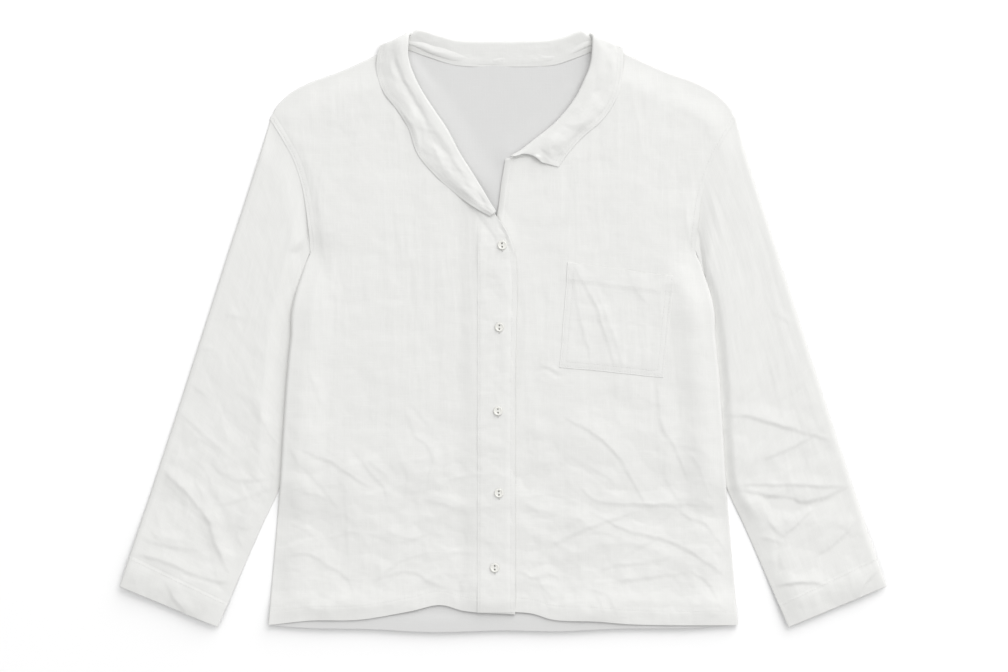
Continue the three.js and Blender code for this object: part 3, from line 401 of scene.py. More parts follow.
COLLAR_CREASES = [
    ([(-120, 634), (-116, 616), (-105, 592), (-94, 574), (-84, 558)], -1.5, 8),
    ([(-78, 534), (-70, 518), (-66, 504)], 0.5, 6),
    ([(-96, 554), (-80, 548), (-68, 548)], 0.4, 5),
    ([(-106, 642), (-98, 636), (-86, 632)], -0.5, 6),
    ([(-58, 526), (-50, 512), (-34, 492)], 0.5, 7),
    ([(124, 618), (118, 596), (104, 574), (88, 554)], -0.5, 6),
    ([(108, 626), (102, 606), (92, 590), (80, 574)], 0.5, 9),
    ([(72, 552), (58, 538), (46, 522)], 0.5, 8),
    ([(36, 530), (48, 520), (56, 512)], -0.5, 6),
]
BACK_CREASES = [
    ([(-190, 470), (-120, 430), (-60, 440)], 0.9, 20),
    ([(60, 380), (120, 350), (190, 370)], 0.9, 20),
    ([(-200, 250), (-130, 220), (-60, 150)], 1.0, 20),
    ([(20, 220), (90, 160), (190, 150)], 1.0, 20),
    ([(-150, 90), (-60, 110), (30, 80)], 1.0, 18),
    ([(80, 60), (150, 90), (220, 70)], 0.9, 16),
    ([(-30, 330), (0, 290), (50, 260)], 0.8, 16),
    ([(-210, 140), (-170, 110), (-150, 50)], 0.8, 18),
    ([(-80, 300), (-120, 270), (-170, 300)], 0.7, 16),
    ([(100, 270), (140, 240), (150, 200)], 0.7, 14),
]


# ---------------------------------------------------------------- curves
def mix(a, b, t):
    return a + (b - a) * t


def ease(t):
    """From 0 to 1 for t from 0 to 1, flat at both ends."""
    t = np.clip(t, 0, 1)
    return t * t * (3 - 2 * t)


def between(low, high, value):
    """Rises from 0 at low to 1 at high."""
    return ease((value - low) / (high - low))


def falling(low, high, value):
    """Falls from 1 at low to 0 at high."""
    return 1 - between(low, high, value)


def unit(vectors):
    """The same vectors at a length of 1."""
    return vectors / np.maximum(np.linalg.norm(vectors, axis=-1, keepdims=True), 1e-9)


def level_unit(vectors):
    """The same vectors laid level, at a length of 1."""
    return unit(vectors * (1, 1, 0))


def run_along(points):
    """Distance along a line of points from its first to each."""
    return np.concatenate([[0], np.cumsum(np.linalg.norm(np.diff(points, axis=0), axis=1))])


def points_at(places, distances, points):
    """Points at places along a line of points that lie at distances along it."""
    return np.stack([np.interp(places, distances, points[:, k]) for k in range(points.shape[1])], axis=-1)


def index_at(place, distances):
    """Fractional index of a place among rising distances."""
    return np.interp(place, distances, np.arange(len(distances)))


def centripetal(points, t):
    """Points on a centripetal Catmull-Rom curve at t, which counts the given points from 0."""
    points = np.asarray(points, float)
    padded = np.vstack([2 * points[0] - points[1], points, 2 * points[-1] - points[-2]])
    i = np.clip(np.floor(t).astype(int), 0, len(points) - 2)
    w = (t - i)[:, None]
    p0, p1, p2, p3 = (padded[i + k] for k in range(4))
    d0, d1, d2 = (np.maximum(np.linalg.norm(b - a, axis=1), 1e-6)[:, None] ** 0.5
                  for a, b in ((p0, p1), (p1, p2), (p2, p3)))
    m1 = ((p1 - p0) / d0 - (p2 - p0) / (d0 + d1) + (p2 - p1) / d1) * d1
    m2 = ((p2 - p1) / d1 - (p3 - p1) / (d1 + d2) + (p3 - p2) / d2) * d1
    return p1 + m1 * w + (-3 * p1 + 3 * p2 - 2 * m1 - m2) * w ** 2 + (2 * p1 - 2 * p2 + m1 + m2) * w ** 3


def through(points, divisions=800):
    """A smooth curve through points, over its share from 0 to 1 of its length."""
    fine = centripetal(points, np.linspace(0, len(points) - 1, divisions + 1))
    run = run_along(fine)
    return lambda share: points_at(share, run / run[-1], fine)


def chain(first, split, second):
    """One curve made of two, the first up to the share split."""
    def curve(t):
        t = np.asarray(t, float)
        a = first(np.clip(t / split, 0, 1))
        b = second(np.clip((t - split) / (1 - split), 0, 1))
        return np.where((t <= split)[..., None], a, b)
    return curve


def to_line(x, y, line):
    """Distance from points to a line of points in plan, its share along the line, and the side it is on."""
    best = np.full(x.shape, np.inf)
    share = np.zeros(x.shape)
    side = np.zeros(x.shape)
    line = np.asarray(line, float)
    count = len(line) - 1
    for k in range(count):
        a, run = line[k], line[k + 1] - line[k]
        t = np.clip(((x - a[0]) * run[0] + (y - a[1]) * run[1]) / (run @ run), 0, 1)
        dx, dy = x - a[0] - run[0] * t, y - a[1] - run[1] * t
        away = np.hypot(dx, dy)
        nearer = away < best
        best = np.where(nearer, away, best)
        share = np.where(nearer, (k + t) / count, share)
        side = np.where(nearer, np.sign(run[0] * dy - run[1] * dx), side)
    return best, share, side


def spread(length, step, rim=(0.3, 0.8, 1.4, 2.2, 3.2, 4.4)):
    """Shares of a length at an even step, closer together at both ends."""
    ends = np.array([0, *rim])
    inner = np.linspace(rim[-1], length - rim[-1], int(round((length - 2 * rim[-1]) / step)) + 1)[1:-1]
    return np.concatenate([ends, inner, length - ends[::-1]]) / length


# ---------------------------------------------------------------- crumple
CELLS = 64  # units after which the noise repeats


def ripple(x, y, seed):
    """Smooth noise from about -1 to 1, one hump to a unit."""
    turns = np.random.default_rng(seed).random((CELLS, CELLS)) * 2 * math.pi
    cell_x, cell_y = np.floor(x).astype(int), np.floor(y).astype(int)
    in_x, in_y = x - cell_x, y - cell_y

    def corner(dx, dy):
        a = turns[(cell_x + dx) % CELLS, (cell_y + dy) % CELLS]
        return np.cos(a) * (in_x - dx) + np.sin(a) * (in_y - dy)

    u = in_x ** 3 * (in_x * (6 * in_x - 15) + 10)
    v = in_y ** 3 * (in_y * (6 * in_y - 15) + 10)
    return 1.5 * mix(mix(corner(0, 0), corner(1, 0), u), mix(corner(0, 1), corner(1, 1), u), v)


def facets(x, y, seed):
    """Shallow bowls that meet in straight ridges, from 0 at their middles to about 0.6 where three meet."""
    shift = np.random.default_rng(seed).random((CELLS, CELLS, 2))
    cell_x, cell_y = np.floor(x).astype(int), np.floor(y).astype(int)
    near = np.full(x.shape, np.inf)
    for dx in (-1, 0, 1):
        for dy in (-1, 0, 1):
            spot = shift[(cell_x + dx) % CELLS, (cell_y + dy) % CELLS]
            away_x, away_y = cell_x + dx + spot[..., 0] - x, cell_y + dy + spot[..., 1] - y
            near = np.minimum(near, away_x ** 2 + away_y ** 2)
    return near


def planes(x, y, seed, width, length):
    """Flat facets of a width and a length, from about -0.5 to 0.5, that meet in sharp ridges and valleys."""
    x, y = x / width, y / length
    return facets(x, y, seed) - facets(x + 0.5, y + 0.5, seed + 1)


def crumple(x, y, seed, size=1.0):
    """Crumpled cloth: facets of three sizes, a little bent, the smallest of them of uneven strength."""
    def bend(first):
        far = 5 * size * ripple(x / 43 / size, y / 43 / size, first)
        return far + 1.2 * ripple(x / 11, y / 11, first + 1)

    wx, wy = x + bend(seed), y + bend(seed + 2)
    broad = planes(wx + 0.5 * wy, wy - 0.1 * wx, seed + 9, 96 * size, 66 * size)
    large = planes(wx + 0.3 * wy, wy - 0.2 * wx, seed + 4, 46 * size, 34 * size)
    small = planes(wx - 0.4 * wy, wy + 0.3 * wx, seed + 6, 19 * size, 14 * size)
    strength = 0.5 + 0.5 * np.clip(ripple(x / 90, y / 90, seed + 8) + 0.2, -1, 1)
    return 2.4 * broad + 1.3 * large + 0.4 * small * strength


def crinkle(x, y, seed):
    """Fine upright crinkles, some millimetres wide and some centimetres long."""
    wx = x + 2.5 * ripple(x / 40, y / 70, seed) + 0.02 * y
    lines = planes(wx, y, seed + 1, 15, 85) + 0.35 * planes(wx, y, seed + 3, 6, 48)
    return lines * np.clip(0.6 + 0.7 * ripple(x / 60, y / 110, seed + 5), 0.2, 1.2)


LIGHT_FROM = (0.5, 0.87)  # the way to the window in plan, which is where the gentle sides of creases look
STEEP = 4.4  # reach of a crease's steep side


def creased(x, y, creases, seed):
    """The height that a table of creases adds. A crease wavers, fades at its ends and has one steep side."""
    def waver(first):
        return 1.2 * ripple(x / 15, y / 15, first) + 0.4 * ripple(x / 4, y / 4, first + 3)

    wx, wy = x + waver(seed), y + waver(seed + 1)
    uneven = 0.9 + 0.4 * ripple(x / 19, y / 19, seed + 2)
    height = np.zeros(x.shape)
    for points, rise, reach, *steep in creases:
        steep = steep[0] if steep else min(STEEP, reach)
        line = through(points, 40)(np.linspace(0, 1, 5 * len(points)))
        low, high = line.min(0) - max(reach, steep), line.max(0) + max(reach, steep)
        near = (wx > low[0]) & (wx < high[0]) & (wy > low[1]) & (wy < high[1])
        if not near.any():
            continue
        away, share, side = to_line(wx[near], wy[near], line)
        run = line[-1] - line[0]
        left_is_lit = LIGHT_FROM[1] * run[0] - LIGHT_FROM[0] * run[1] > 0
        gentle = (side > 0) == (left_is_lit == (rise > 0))
        ends = np.clip(np.sin(math.pi * np.clip(share, 0.02, 0.98)), 0, 1) ** 0.6
        width = np.where(gentle, reach, steep) * mix(0.5, 1, ends)
        height[near] += rise * ends * np.clip(1 - away / width, 0, 1) ** 1.2
    return height * uneven


# ---------------------------------------------------------------- the garment's surfaces
def outline_of(side):
    return through([(side * half, y) for y, half in OUTLINE])


def shoulder_of(side):
    return through([(side * x, y) for x, y in SHOULDER])


SIDE_CURVE = outline_of(1)
SIDE_SHARES = np.linspace(0, 1, 2001)
SIDE_POINTS = SIDE_CURVE(SIDE_SHARES)
ARMPIT_SHARE = float(np.interp(ARMPIT_Y, SIDE_POINTS[:, 1], SIDE_SHARES))
ARMHOLE_LINE = SIDE_CURVE(np.linspace(ARMPIT_SHARE, 1, 25))
SHOULDER_LINE = shoulder_of(1)(np.linspace(0, 1, 25))


def half_width(y):
    """Half the body's width between its side seams and its armholes."""
    return np.interp(y, SIDE_POINTS[:, 1], SIDE_POINTS[:, 0])


def back_lift(x, y):
    """Height of the back's underside: flat on the surface, but for the sides that lie over the sleeves."""
    inward = half_width(y) - np.abs(x)
    along = between(*TUCK["low"], y) * falling(*TUCK["high"], y)
    return TUCK["lift"] * along * falling(TUCK["flat"], TUCK["flat"] + TUCK["run"], inward)


def seam_distances(x, y):
    """Distances to the closed side seam, to the shoulder seam and to the armhole."""
    side = np.abs(x)
    round_armpit = np.hypot(side - half_width(ARMPIT_Y), y - ARMPIT_Y)
    to_side = np.where(y < ARMPIT_Y, half_width(y) - side, round_armpit)
    return np.maximum(to_side, 0), to_line(side, y, SHOULDER_LINE)[0], to_line(side, y, ARMHOLE_LINE)[0]


def groove(distance, depth, half):
    """The dip that a line of stitches pulls into the cloth."""
    return -depth * np.exp(-(distance / half) ** 2)


def rolled(distance, run):
    """From 0 at a closed edge to 1 where the cloth has rolled up to its full height."""
    t = np.clip(distance / run, 0, 1)
    return np.sqrt(1 - (1 - t) ** 2)


def sunk(z, target, sink):
    """Heights that sink by a share from 0 to 1, which stands for most of the way to a target."""
    return mix(z, np.minimum(z, target + 0.3 * (z - target)), sink)


def near_hem(from_hem, run):
    """How much an open hem sinks: 1 at its edge and 0 from a run on."""
    return np.clip(1 - from_hem / run, 0, 1) ** 1.6


def front_details(x, y):
    """Creases, crumple and crinkle of the fronts."""
    low = falling(120, 270, y)
    chest = between(180, 300, y)
    cloth = crumple(x, y, 11) * mix(0.22, 1.0, low)
    fine = crumple(x, y, 31, 0.4) * mix(0.12, 0.22, low)
    upright = crinkle(x, y, 51) * mix(0.3, 0.55, chest)
    wave = 0.5 * ripple(x / 60, y / 160, 71)
    stiff = 1 - 0.5 * (between(LAP["from"], LAP["stitch"], x) - between(LAP["edge"], LAP["edge"] + 16, x))
    return (cloth + fine + wave + creased(x, y, BODY_CREASES, 91)) * stiff + upright


def beside_sleeve(y):
    """From 0 to 1 where the body's side lies over a sleeve."""
    return between(110, 190, y) * falling(ARMPIT_Y - 50, ARMPIT_Y + 30, y)


def hem_curl(y):
    """How far the body's hem curls up from the surface."""
    return HEM_CURL * falling(-6, 80, y) ** 1.4


def front_top(x, y, right):
    """Height of a front's outer face, without its hem."""
    to_side, to_shoulder, to_armhole = seam_distances(x, y)
    closed = np.minimum(to_side, to_shoulder)
    free = ease(closed / LOFT_RUN)
    beside = beside_sleeve(y)
    seam = SEAM_HEIGHT + (RIGHT_SEAM_RISE * beside if right else 0)
    base = back_lift(x, y) + seam + HEM_EXTRA * falling(*OVER_HEM, y) + hem_curl(y)
    details = front_details(x, y) * mix(0.3, 1, ease(closed / 22)) * mix(0.5, 1, ease(to_armhole / 10))
    details = np.maximum(details, -1.7 * mix(0.2, 1, free))
    height = base + free * (2 * CLOTH + STACK_GAP + LOFT - seam) + details
    height = height + SWELL["front"] * beside * ease(closed / 16) * falling(22, 80, closed)
    if right:
        raised = LAP["raise"] + HEM_EXTRA * falling(*LAP["hem"], y)
        height = height + raised * between(LAP["from"], LAP["stitch"] + 2, x)
    arm = between(ARMPIT_Y - 40, ARMPIT_Y + 40, y)
    height = height - arm * ARM_PRESS * falling(1, 15, to_armhole) * falling(500, 565, y)
    height = height + arm * groove(to_armhole - ARM_STITCH + 1, 0.12, 0.9)
    floor = 0.45 * back_lift(x, y) + 0.6 + hem_curl(y)
    return floor + (height - floor) * rolled(closed, mix(1.8, 3.6, beside))


def settled(z, x, y, from_hem, over):
    """Lets a sheet near its hem sink onto the back, or to a height over that."""
    target = back_lift(x, y) + hem_curl(y) + 1.0 + HEM_EXTRA + HEM_EDGE + over
    return sunk(z, target, near_hem(from_hem, SETTLE["body"]))


def patch(side, other, hem, top, u, v):
    """Plan of a panel between its side, its other side, its hem and its top: rows by v, columns by u."""
    near, far = side(v)[:, None], other(v)[:, None]
    across, up = u[None, :, None], v[:, None, None]
    from_corners = mix(mix(near[0], far[0], across), mix(near[-1], far[-1], across), up)
    return mix(near, far, across) + mix(hem(u)[None], top(u)[None], up) - from_corners


BORDERS = {"first_row": (0, 1), "last_row": (0, -1), "first_column": (1, 1), "last_column": (1, -1)}


def add_rim(points, border, profile):
    """Lengthens a sheet of points past one border. The profile has, for each new line, how far it lies
    inside the border and how far below it."""
    axis, step = BORDERS[border]
    grid = np.swapaxes(points, 0, axis)[::step]
    inward = level_unit(grid[RIM_REACH] - grid[0])
    lines = np.array([grid[0] + inward * inside - (0, 0, below) for inside, below in profile[::-1]])
    lines[..., 2] = np.maximum(lines[..., 2], LOWEST)
    return np.swapaxes(np.concatenate([lines, grid])[::step], 0, axis)


def turned(thick, depth):
    """The profile of a turned edge: half round, then back under the cloth."""
    half = thick / 2
    angles = [math.pi * k / 5 for k in range(1, 6)]
    arc = [(-half * math.sin(angle) * 0.6, half - half * math.cos(angle)) for angle in angles]
    return [*arc, (depth * 0.4, thick), (depth, thick * 0.9)]


# ---------------------------------------------------------------- meshes
def new_object(name, data):
    made = bpy.data.objects.new(name, data)
    bpy.context.scene.collection.objects.link(made)
    return made


def shift_to_frame():
    """The move from the garment's plan to the row frame, from where the first button lies."""
    low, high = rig.box("button_1")
    centre = (low + high) * 500
    return np.array([centre.x - BUTTON_SPOTS[0][0], centre.y - BUTTON_SPOTS[0][1], 0.0])


SHIFT = shift_to_frame()


def place(points):
    """Points in metres in the row frame, from garment millimetres."""
    return (np.asarray(points, float).reshape(-1, 3) + SHIFT) / 1000


def quads(rows, columns, ring=False):
    """The faces between neighbouring points of a grid. In a ring the last column joins the first."""
    start, column = np.meshgrid(np.arange(rows - 1) * columns, np.arange(columns if ring else columns - 1),
                                indexing="ij")
    here, after = start + column, start + (column + 1) % columns
    return np.stack([here, after, after + columns, here + columns], axis=-1).reshape(-1, 4)


def make_piece(name, points, faces, material, flat=None, faces_up=True):
    """A smooth mesh from points in garment millimetres. flat is where each point lies on the cut cloth. A
    sheet faces up, and a closed body outwards."""
    mesh = bpy.data.meshes.new(name)
    mesh.from_pydata(place(points).tolist(), [], faces.tolist() if isinstance(faces, np.ndarray) else faces)
    mesh.polygons.foreach_set("use_smooth", [True] * len(mesh.polygons))
    if flat is not None:
        flat = np.asarray(flat, float).reshape(-1, 2) / 1000
        attribute = mesh.attributes.new("cloth_flat", "FLOAT_VECTOR", "POINT")
        attribute.data.foreach_set("vector", np.hstack([flat, np.zeros((len(flat), 1))]).ravel())
    mesh.update()
    facing = sum(p.area * (p.normal.z if faces_up else p.center.dot(p.normal)) for p in mesh.polygons)
    if facing < 0:
        mesh.flip_normals()
    mesh.materials.append(material)
    return new_object(name, mesh)


def sheet_piece(name, grid, rims):
    """A sheet of linen from a grid of points, with a rim added along each of its borders."""
    for border, profile in rims:
        grid = add_rim(grid, border, profile)
    return make_piece(name, grid, quads(*grid.shape[:2]), LINEN, grid[..., :2])


def on_grid(grid, row, column):
    """Points of a grid at fractional rows and columns."""
    row = np.clip(row, 0, grid.shape[0] - 1.001)
    column = np.clip(column, 0, grid.shape[1] - 1.001)
    i, j = np.floor(row).astype(int), np.floor(column).astype(int)
    s, t = (row - i)[:, None], (column - j)[:, None]
    return mix(mix(grid[i, j], grid[i, j + 1], t), mix(grid[i + 1, j], grid[i + 1, j + 1], t), s)


class Stitches:
    """Rows of thread on the cloth, gathered into one mesh. A stitch is a half-round bar, thin at its ends."""
    PITCH = 3.0
    LENGTH = 2.1
    RADIUS = 0.2
    LIFT = 0.05
    # Sections of a stitch: share of its length, share of its radius, how far it sinks into the cloth.
    SECTIONS = [(0, 0.35, 0.2), (0.25, 1, 0), (0.75, 1, 0), (1, 0.35, 0.2)]
    ARC = [math.radians(degrees) for degrees in (0, 60, 120, 180)]

    def __init__(self):
        self.points = []
        self.faces = []

    def sew(self, grid, rows, columns, count):
        """Stitches over a grid of points. rows and columns are each a place, or the first and the last."""
        rows, columns = (np.linspace(*np.broadcast_to(ends, 2), count) for ends in (rows, columns))
        self.run(on_grid(grid, rows, columns))

    def run(self, path):
        """Stitches along a line of points."""
        length = run_along(path)
        shares = np.array([share for share, _, _ in self.SECTIONS])
        for k in range(int(length[-1] / self.PITCH)):
            spine = points_at(k * self.PITCH + 0.3 + self.LENGTH * shares, length, path)
            along = unit(spine[-1] - spine[0])
            across = unit(np.array([-along[1], along[0], 0]))
            up = np.cross(along, across)
            up = up if up[2] > 0 else -up
            self.bar(spine, across, up)

    def bar(self, spine, across, up):
        """One stitch: four points round each section, the faces between them and one at each end."""
        first = len(self.points)
        for centre, (_, share, sink) in zip(spine, self.SECTIONS):
            radius, height = self.RADIUS * share, self.LIFT - sink
            for a in self.ARC:
                rise = radius * math.sin(a) + height
                self.points.append(centre + across * radius * math.cos(a) + up * rise)
        for a in range(first, first + 12, 4):
            self.faces.extend((a + m, a + m + 1, a + m + 5, a + m + 4) for m in range(3))
            self.faces.append((a, a + 4, a + 7, a + 3))
        self.faces.append((first, first + 3, first + 2, first + 1))
        self.faces.append((first + 12, first + 13, first + 14, first + 15))

    def make(self, name):
        return make_piece(name, self.points, self.faces, THREAD, faces_up=False)


# ---------------------------------------------------------------- materials
def new_material(name, roughness, sheen=0.0, specular=0.5):
    material = bpy.data.materials.new(name)
    material.use_nodes = True
    nodes = material.node_tree.nodes
    shader = nodes["Principled BSDF"]
    shader.inputs["Roughness"].default_value = roughness
    shader.inputs["Specular IOR Level"].default_value = specular
    if sheen:
        shader.inputs["Sheen Weight"].default_value = sheen
        shader.inputs["Sheen Roughness"].default_value = 0.6
    return material, nodes, material.node_tree.links, shader


def noise_node(nodes, links, vector, scale, detail=2, rough=0.5):
    """The value of a noise over a vector, or over the object's own box where that is None."""
    node = nodes.new("ShaderNodeTexNoise")
    for socket, value in (("Scale", scale), ("Detail", detail), ("Roughness", rough)):
        node.inputs[socket].default_value = value
    if vector:
        links.new(vector, node.inputs["Vector"])
    return node.outputs["Fac"]


def shades(colour, low, high):
    """A darker and a lighter shade of a colour."""
    return [tuple(min(1, c * share) for c in colour) for share in (low, high)]


def coloured(nodes, links, shader, value, colours, positions=(0, 1)):
    """Colours a shader from one colour to another by a value."""
    ramp = nodes.new("ShaderNodeValToRGB")
    for element, colour, position in zip(ramp.color_ramp.elements, colours, positions):
        element.position = position
        element.color = (*colour, 1)
    links.new(value, ramp.inputs["Fac"])
    links.new(ramp.outputs["Color"], shader.inputs["Base Color"])


def linen(name, colour, contrast=0.025, weave=0.3):
    """Plain-woven linen: two crossed sets of uneven threads, slubs, and cloudy patches of thicker cloth."""
    material, nodes, links, shader = new_material(name, 0.93, sheen=0.12, specular=0.25)
    flat = nodes.new("ShaderNodeAttribute")
    flat.attribute_name = "cloth_flat"

    def scaled(x, y):
        node = nodes.new("ShaderNodeMapping")
        node.inputs["Scale"].default_value = (x, y, 1)
        links.new(flat.outputs["Vector"], node.inputs["Vector"])
        return node.outputs["Vector"]

    def noise(x, y, detail, rough=0.5):
        return noise_node(nodes, links, scaled(x, y), 1, detail, rough)

    def maths(operation, *values):
        node = nodes.new("ShaderNodeMath")
        node.operation = operation
        for socket, value in zip(node.inputs, values):
            if isinstance(value, (int, float)):
                socket.default_value = value
            else:
                links.new(value, socket)
        return node.outputs[0]

    def threads(direction, pitch):
        node = nodes.new("ShaderNodeTexWave")
        node.wave_type = "BANDS"
        node.bands_direction = direction
        # a wave of scale 1 has 20 bands to a unit, and the pitch is in millimetres
        values = {"Scale": 1000 / pitch / 20, "Distortion": 1.2, "Detail": 2, "Detail Scale": 2}
        for socket, value in values.items():
            node.inputs[socket].default_value = value
        links.new(scaled(1, 1), node.inputs["Vector"])
        return node.outputs["Fac"]

    warp, weft = threads("X", 0.62), threads("Y", 0.66)
    slub_up, slub_across = noise(900, 55, 2), noise(50, 820, 2)
    cloud = noise(60, 45, 5, 0.6)
    woven = maths("MAXIMUM", maths("MULTIPLY", warp, slub_up), maths("MULTIPLY", weft, slub_across))
    slubs = maths("MAXIMUM", slub_up, slub_across)
    height = maths("ADD", maths("MULTIPLY", woven, 0.25), slubs)
    bump = nodes.new("ShaderNodeBump")
    bump.inputs["Strength"].default_value = weave
    bump.inputs["Distance"].default_value = 0.00025
    links.new(height, bump.inputs["Height"])
    links.new(bump.outputs["Normal"], shader.inputs["Normal"])
    tone = maths("ADD", maths("MULTIPLY", slubs, 0.6), maths("MULTIPLY", cloud, 0.4))
    coloured(nodes, links, shader, tone, shades(colour, 1 - contrast, 1 + contrast), (0.35, 0.7))
    return material


def mottled(name, roughness, scale, colours, detail=2, sheen=0.0):
    """A material that noise varies a little between two colours."""
    material, nodes, links, shader = new_material(name, roughness, sheen)
    where = nodes.new("ShaderNodeTexCoord").outputs["Object"]
    coloured(nodes, links, shader, noise_node(nodes, links, where, scale, detail), colours)
    return material


def thread(name, colour):
    """Twisted sewing thread."""
    return mottled(name, 0.75, 2600, shades(colour, 0.9, 1.04), sheen=0.2)


LINEN = linen("linen_outside", (0.705, 0.705, 0.69))
# painted shade: a greyer copy of the linen, standing in for the shade on the back's inner face in the neck opening and
# under the fronts' hem
LINEN_PAINTED_SHADE = linen("linen_inside", (0.61, 0.61, 0.605), contrast=0.015)
THREAD = thread("sewing_thread", (0.7, 0.7, 0.685))
SHELL = mottled("button_shell", 0.3, 500, [(0.66, 0.655, 0.62), (0.79, 0.785, 0.745)], detail=3)
HOLE_SHADE = thread("hole_shade", (0.09, 0.088, 0.07))


# ---------------------------------------------------------------- body
FRONT_RIMS = [("first_row", turned(0.8, 7)), ("last_row", [(0.1, 0.3), (0.4, 0.6)]),
              ("last_column", turned(1.4, 6)), ("first_column", [(0.1, 0.3), (0.4, 0.7), (0.5, 2.6)])]


def front(name, side, hem, edge, collar_rows, edge_steps, right):
    """One front: a sheet from the side seam to its free edge, with its turned hem, neck edge and rims. Its
    free edge ends a number of steps up the armhole."""
    u, v = spread(FRONT_WIDTH, STEP["front"]), spread(SIDE_LENGTH, STEP["front"])
    edge_share = mix(ARMPIT_SHARE, 1, edge_steps / ARMHOLE_STEPS)
    along_collar = [seam_point(row, -NECK_LAP) for row in collar_rows[1:]]
    neck = through([edge[-1], *along_collar, (side * NECK_CORNER[0], NECK_CORNER[1])])
    inner = chain(through(edge), edge_share, neck)
    plan = patch(outline_of(side), inner, through(hem), shoulder_of(side), u, v)
    x, y = plan[..., 0], plan[..., 1]
    from_hem, from_edge = np.meshgrid(v * SIDE_LENGTH, (1 - u) * FRONT_WIDTH, indexing="ij")
    z = front_top(x, y, right)
    to_side, _, to_armhole = seam_distances(x, y)
    lap = ARM_LAP * falling(0, 6, to_armhole) * between(ARMPIT_Y, ARMPIT_Y + 8, y)
    lap = lap + PIT_LAP * falling(0, 10, to_side) * between(320, 350, y) * falling(400, ARMPIT_Y + 2, y)
    x = x + side * lap
    turn = falling(HEM_TURN - 3, HEM_TURN + 3, from_hem)
    pucker = 0.3 * planes(x, from_hem, 131, 11, 60) * falling(20, 42, from_hem)
    z = z + 0.5 * HEM_EXTRA * turn + groove(from_hem - HEM_TURN + HEM_STITCH, 0.25, 1.2) + pucker
    z = settled(z, x, y, from_hem, 0)
    if not right:
        wide, facing = FACING["width"], between(*FACING["from"], y)
        step = 0.25 * falling(wide - 1.5, wide + 0.5, from_edge)
        z = z + facing * (groove(from_edge - wide, 0.3, 1.1) + step)
        z = np.maximum(z - facing * 2.0 * np.clip(1 - from_edge / wide, 0, 1) ** 2, 0.5)
    grid = np.dstack([x, y, z])
    piece = sheet_piece(name, grid, FRONT_RIMS)
    sewing = Stitches()
    hem_row = index_at(HEM_TURN - HEM_STITCH, v * SIDE_LENGTH)
    armpit_row = index_at(ARMPIT_SHARE, v)
    sewing.sew(grid, hem_row, (4, len(u) - 4), 600)
    sewing.sew(grid, (armpit_row, len(v) - 4), index_at(ARM_STITCH, u * FRONT_WIDTH), 300)
    if not right:
        facing_column = index_at(FRONT_WIDTH - FACING["width"], u * FRONT_WIDTH)
        sewing.sew(grid, (armpit_row, index_at(edge_share, v)), facing_column, 200)
    return piece, sewing.make(name + "_stitches")


NECK_RISE = {"height": 1.5, "run": 26}  # how the back's inside rises towards the collar's roll
NECK_FOLD = through([row[:2] for row in (*COLLAR_RIGHT, *COLLAR_LEFT)])(np.linspace(0, 1, 120))


def back(name):
    """The back: a closed wall of cloth, its upper faces painted greyer, as painted shade, in the neck opening and
    under the fronts' hem.
    """
    u, v = spread(BACK_WIDTH, STEP["back"]), spread(SIDE_LENGTH, STEP["back"])
    corner_x, corner_y = NECK_CORNER
    neck = through([(-corner_x, corner_y), *(seam_point(row, -NECK_LAP) for row in COLLAR_BACK), NECK_CORNER])
    left_shoulder = shoulder_of(1)
    rest = chain(neck, (1 - 2 * NECK_SHARE) / (1 - NECK_SHARE), lambda t: left_shoulder(1 - t))
    top = chain(shoulder_of(-1), NECK_SHARE, rest)
    plan = patch(outline_of(-1), outline_of(1), through(BACK_HEM), top, u, v)
    x, y = plan[..., 0], plan[..., 1]
    seams = seam_distances(x, y)
    x = x - np.sign(x) * BACK_INSET * falling(0, 10, np.minimum(seams[0], seams[2]))
    calm = ease(np.minimum.reduce(seams) / 25)
    from_hem = v[:, None] * SIDE_LENGTH
    hem = falling(HEM_TURN - 1.5, HEM_TURN + 1.5, from_hem)
    in_neck = between(470, 520, y) * falling(90, 120, np.abs(x))
    form = 0.4 * np.maximum(crumple(x, y, 151), -0.6) + 1.1 * creased(x, y, BACK_CREASES, 171)
    form = np.clip(form, 0, 1.7) * calm * (1 - hem) * (1 - 0.85 * in_neck)
    from_fold, _, inside_neck = to_line(x, y, NECK_FOLD)
    rise = np.where(inside_neck < 0, falling(2, NECK_RISE["run"], from_fold), falling(2, 12, from_fold))
    neck_y = mix(604, 634, between(70, 104, np.abs(x)))
    form = form + NECK_RISE["height"] * rise * between(470, 500, y) * falling(neck_y - 14, neck_y + 4, y)
    under = back_lift(x, y) + BACK_WALL["clear"] + form + hem_curl(y)
    over = under + BACK_WALL["thick"] + HEM_EXTRA * hem
    from_stitch = from_hem - HEM_TURN + HEM_STITCH
    low = np.dstack([x, y, under - groove(from_stitch, 0.3, 1.3)])
    high = np.dstack([x, y, over + groove(from_stitch, 0.2, 2)])
    # painted shade: the back's upper faces in these bands take the greyer linen
    shows = (y < BACK_PAINTED_SHADE[0]) | (y > BACK_PAINTED_SHADE[1])
    return closed_wall(name, low, high, (LINEN, LINEN_PAINTED_SHADE), shows[:-1, :-1].ravel())


def closed_wall(name, low, high, materials, second):
    """A closed wall between two sheets of points. second picks the upper faces of the second material."""
    rows, columns = low.shape[:2]
    count = rows * columns
    faces = quads(rows, columns)
    index = np.arange(count).reshape(rows, columns)
    ring = np.concatenate([index[0], index[1:, -1], index[-1, -2::-1], index[-2:0:-1, 0]])
    after = np.roll(ring, -1)
    rim = np.stack([ring, after, after + count, ring + count], axis=-1)
    points = np.concatenate([low.reshape(-1, 3), high.reshape(-1, 3)])
    all_faces = np.concatenate([faces[:, ::-1], faces + count, rim])
    piece = make_piece(name, points, all_faces, materials[0], points[:, :2], faces_up=False)
    piece.data.materials.append(materials[1])
    material_index = np.zeros(len(all_faces), int)
    material_index[len(faces):2 * len(faces)] = second
    piece.data.polygons.foreach_set("material_index", material_index)
    return piece


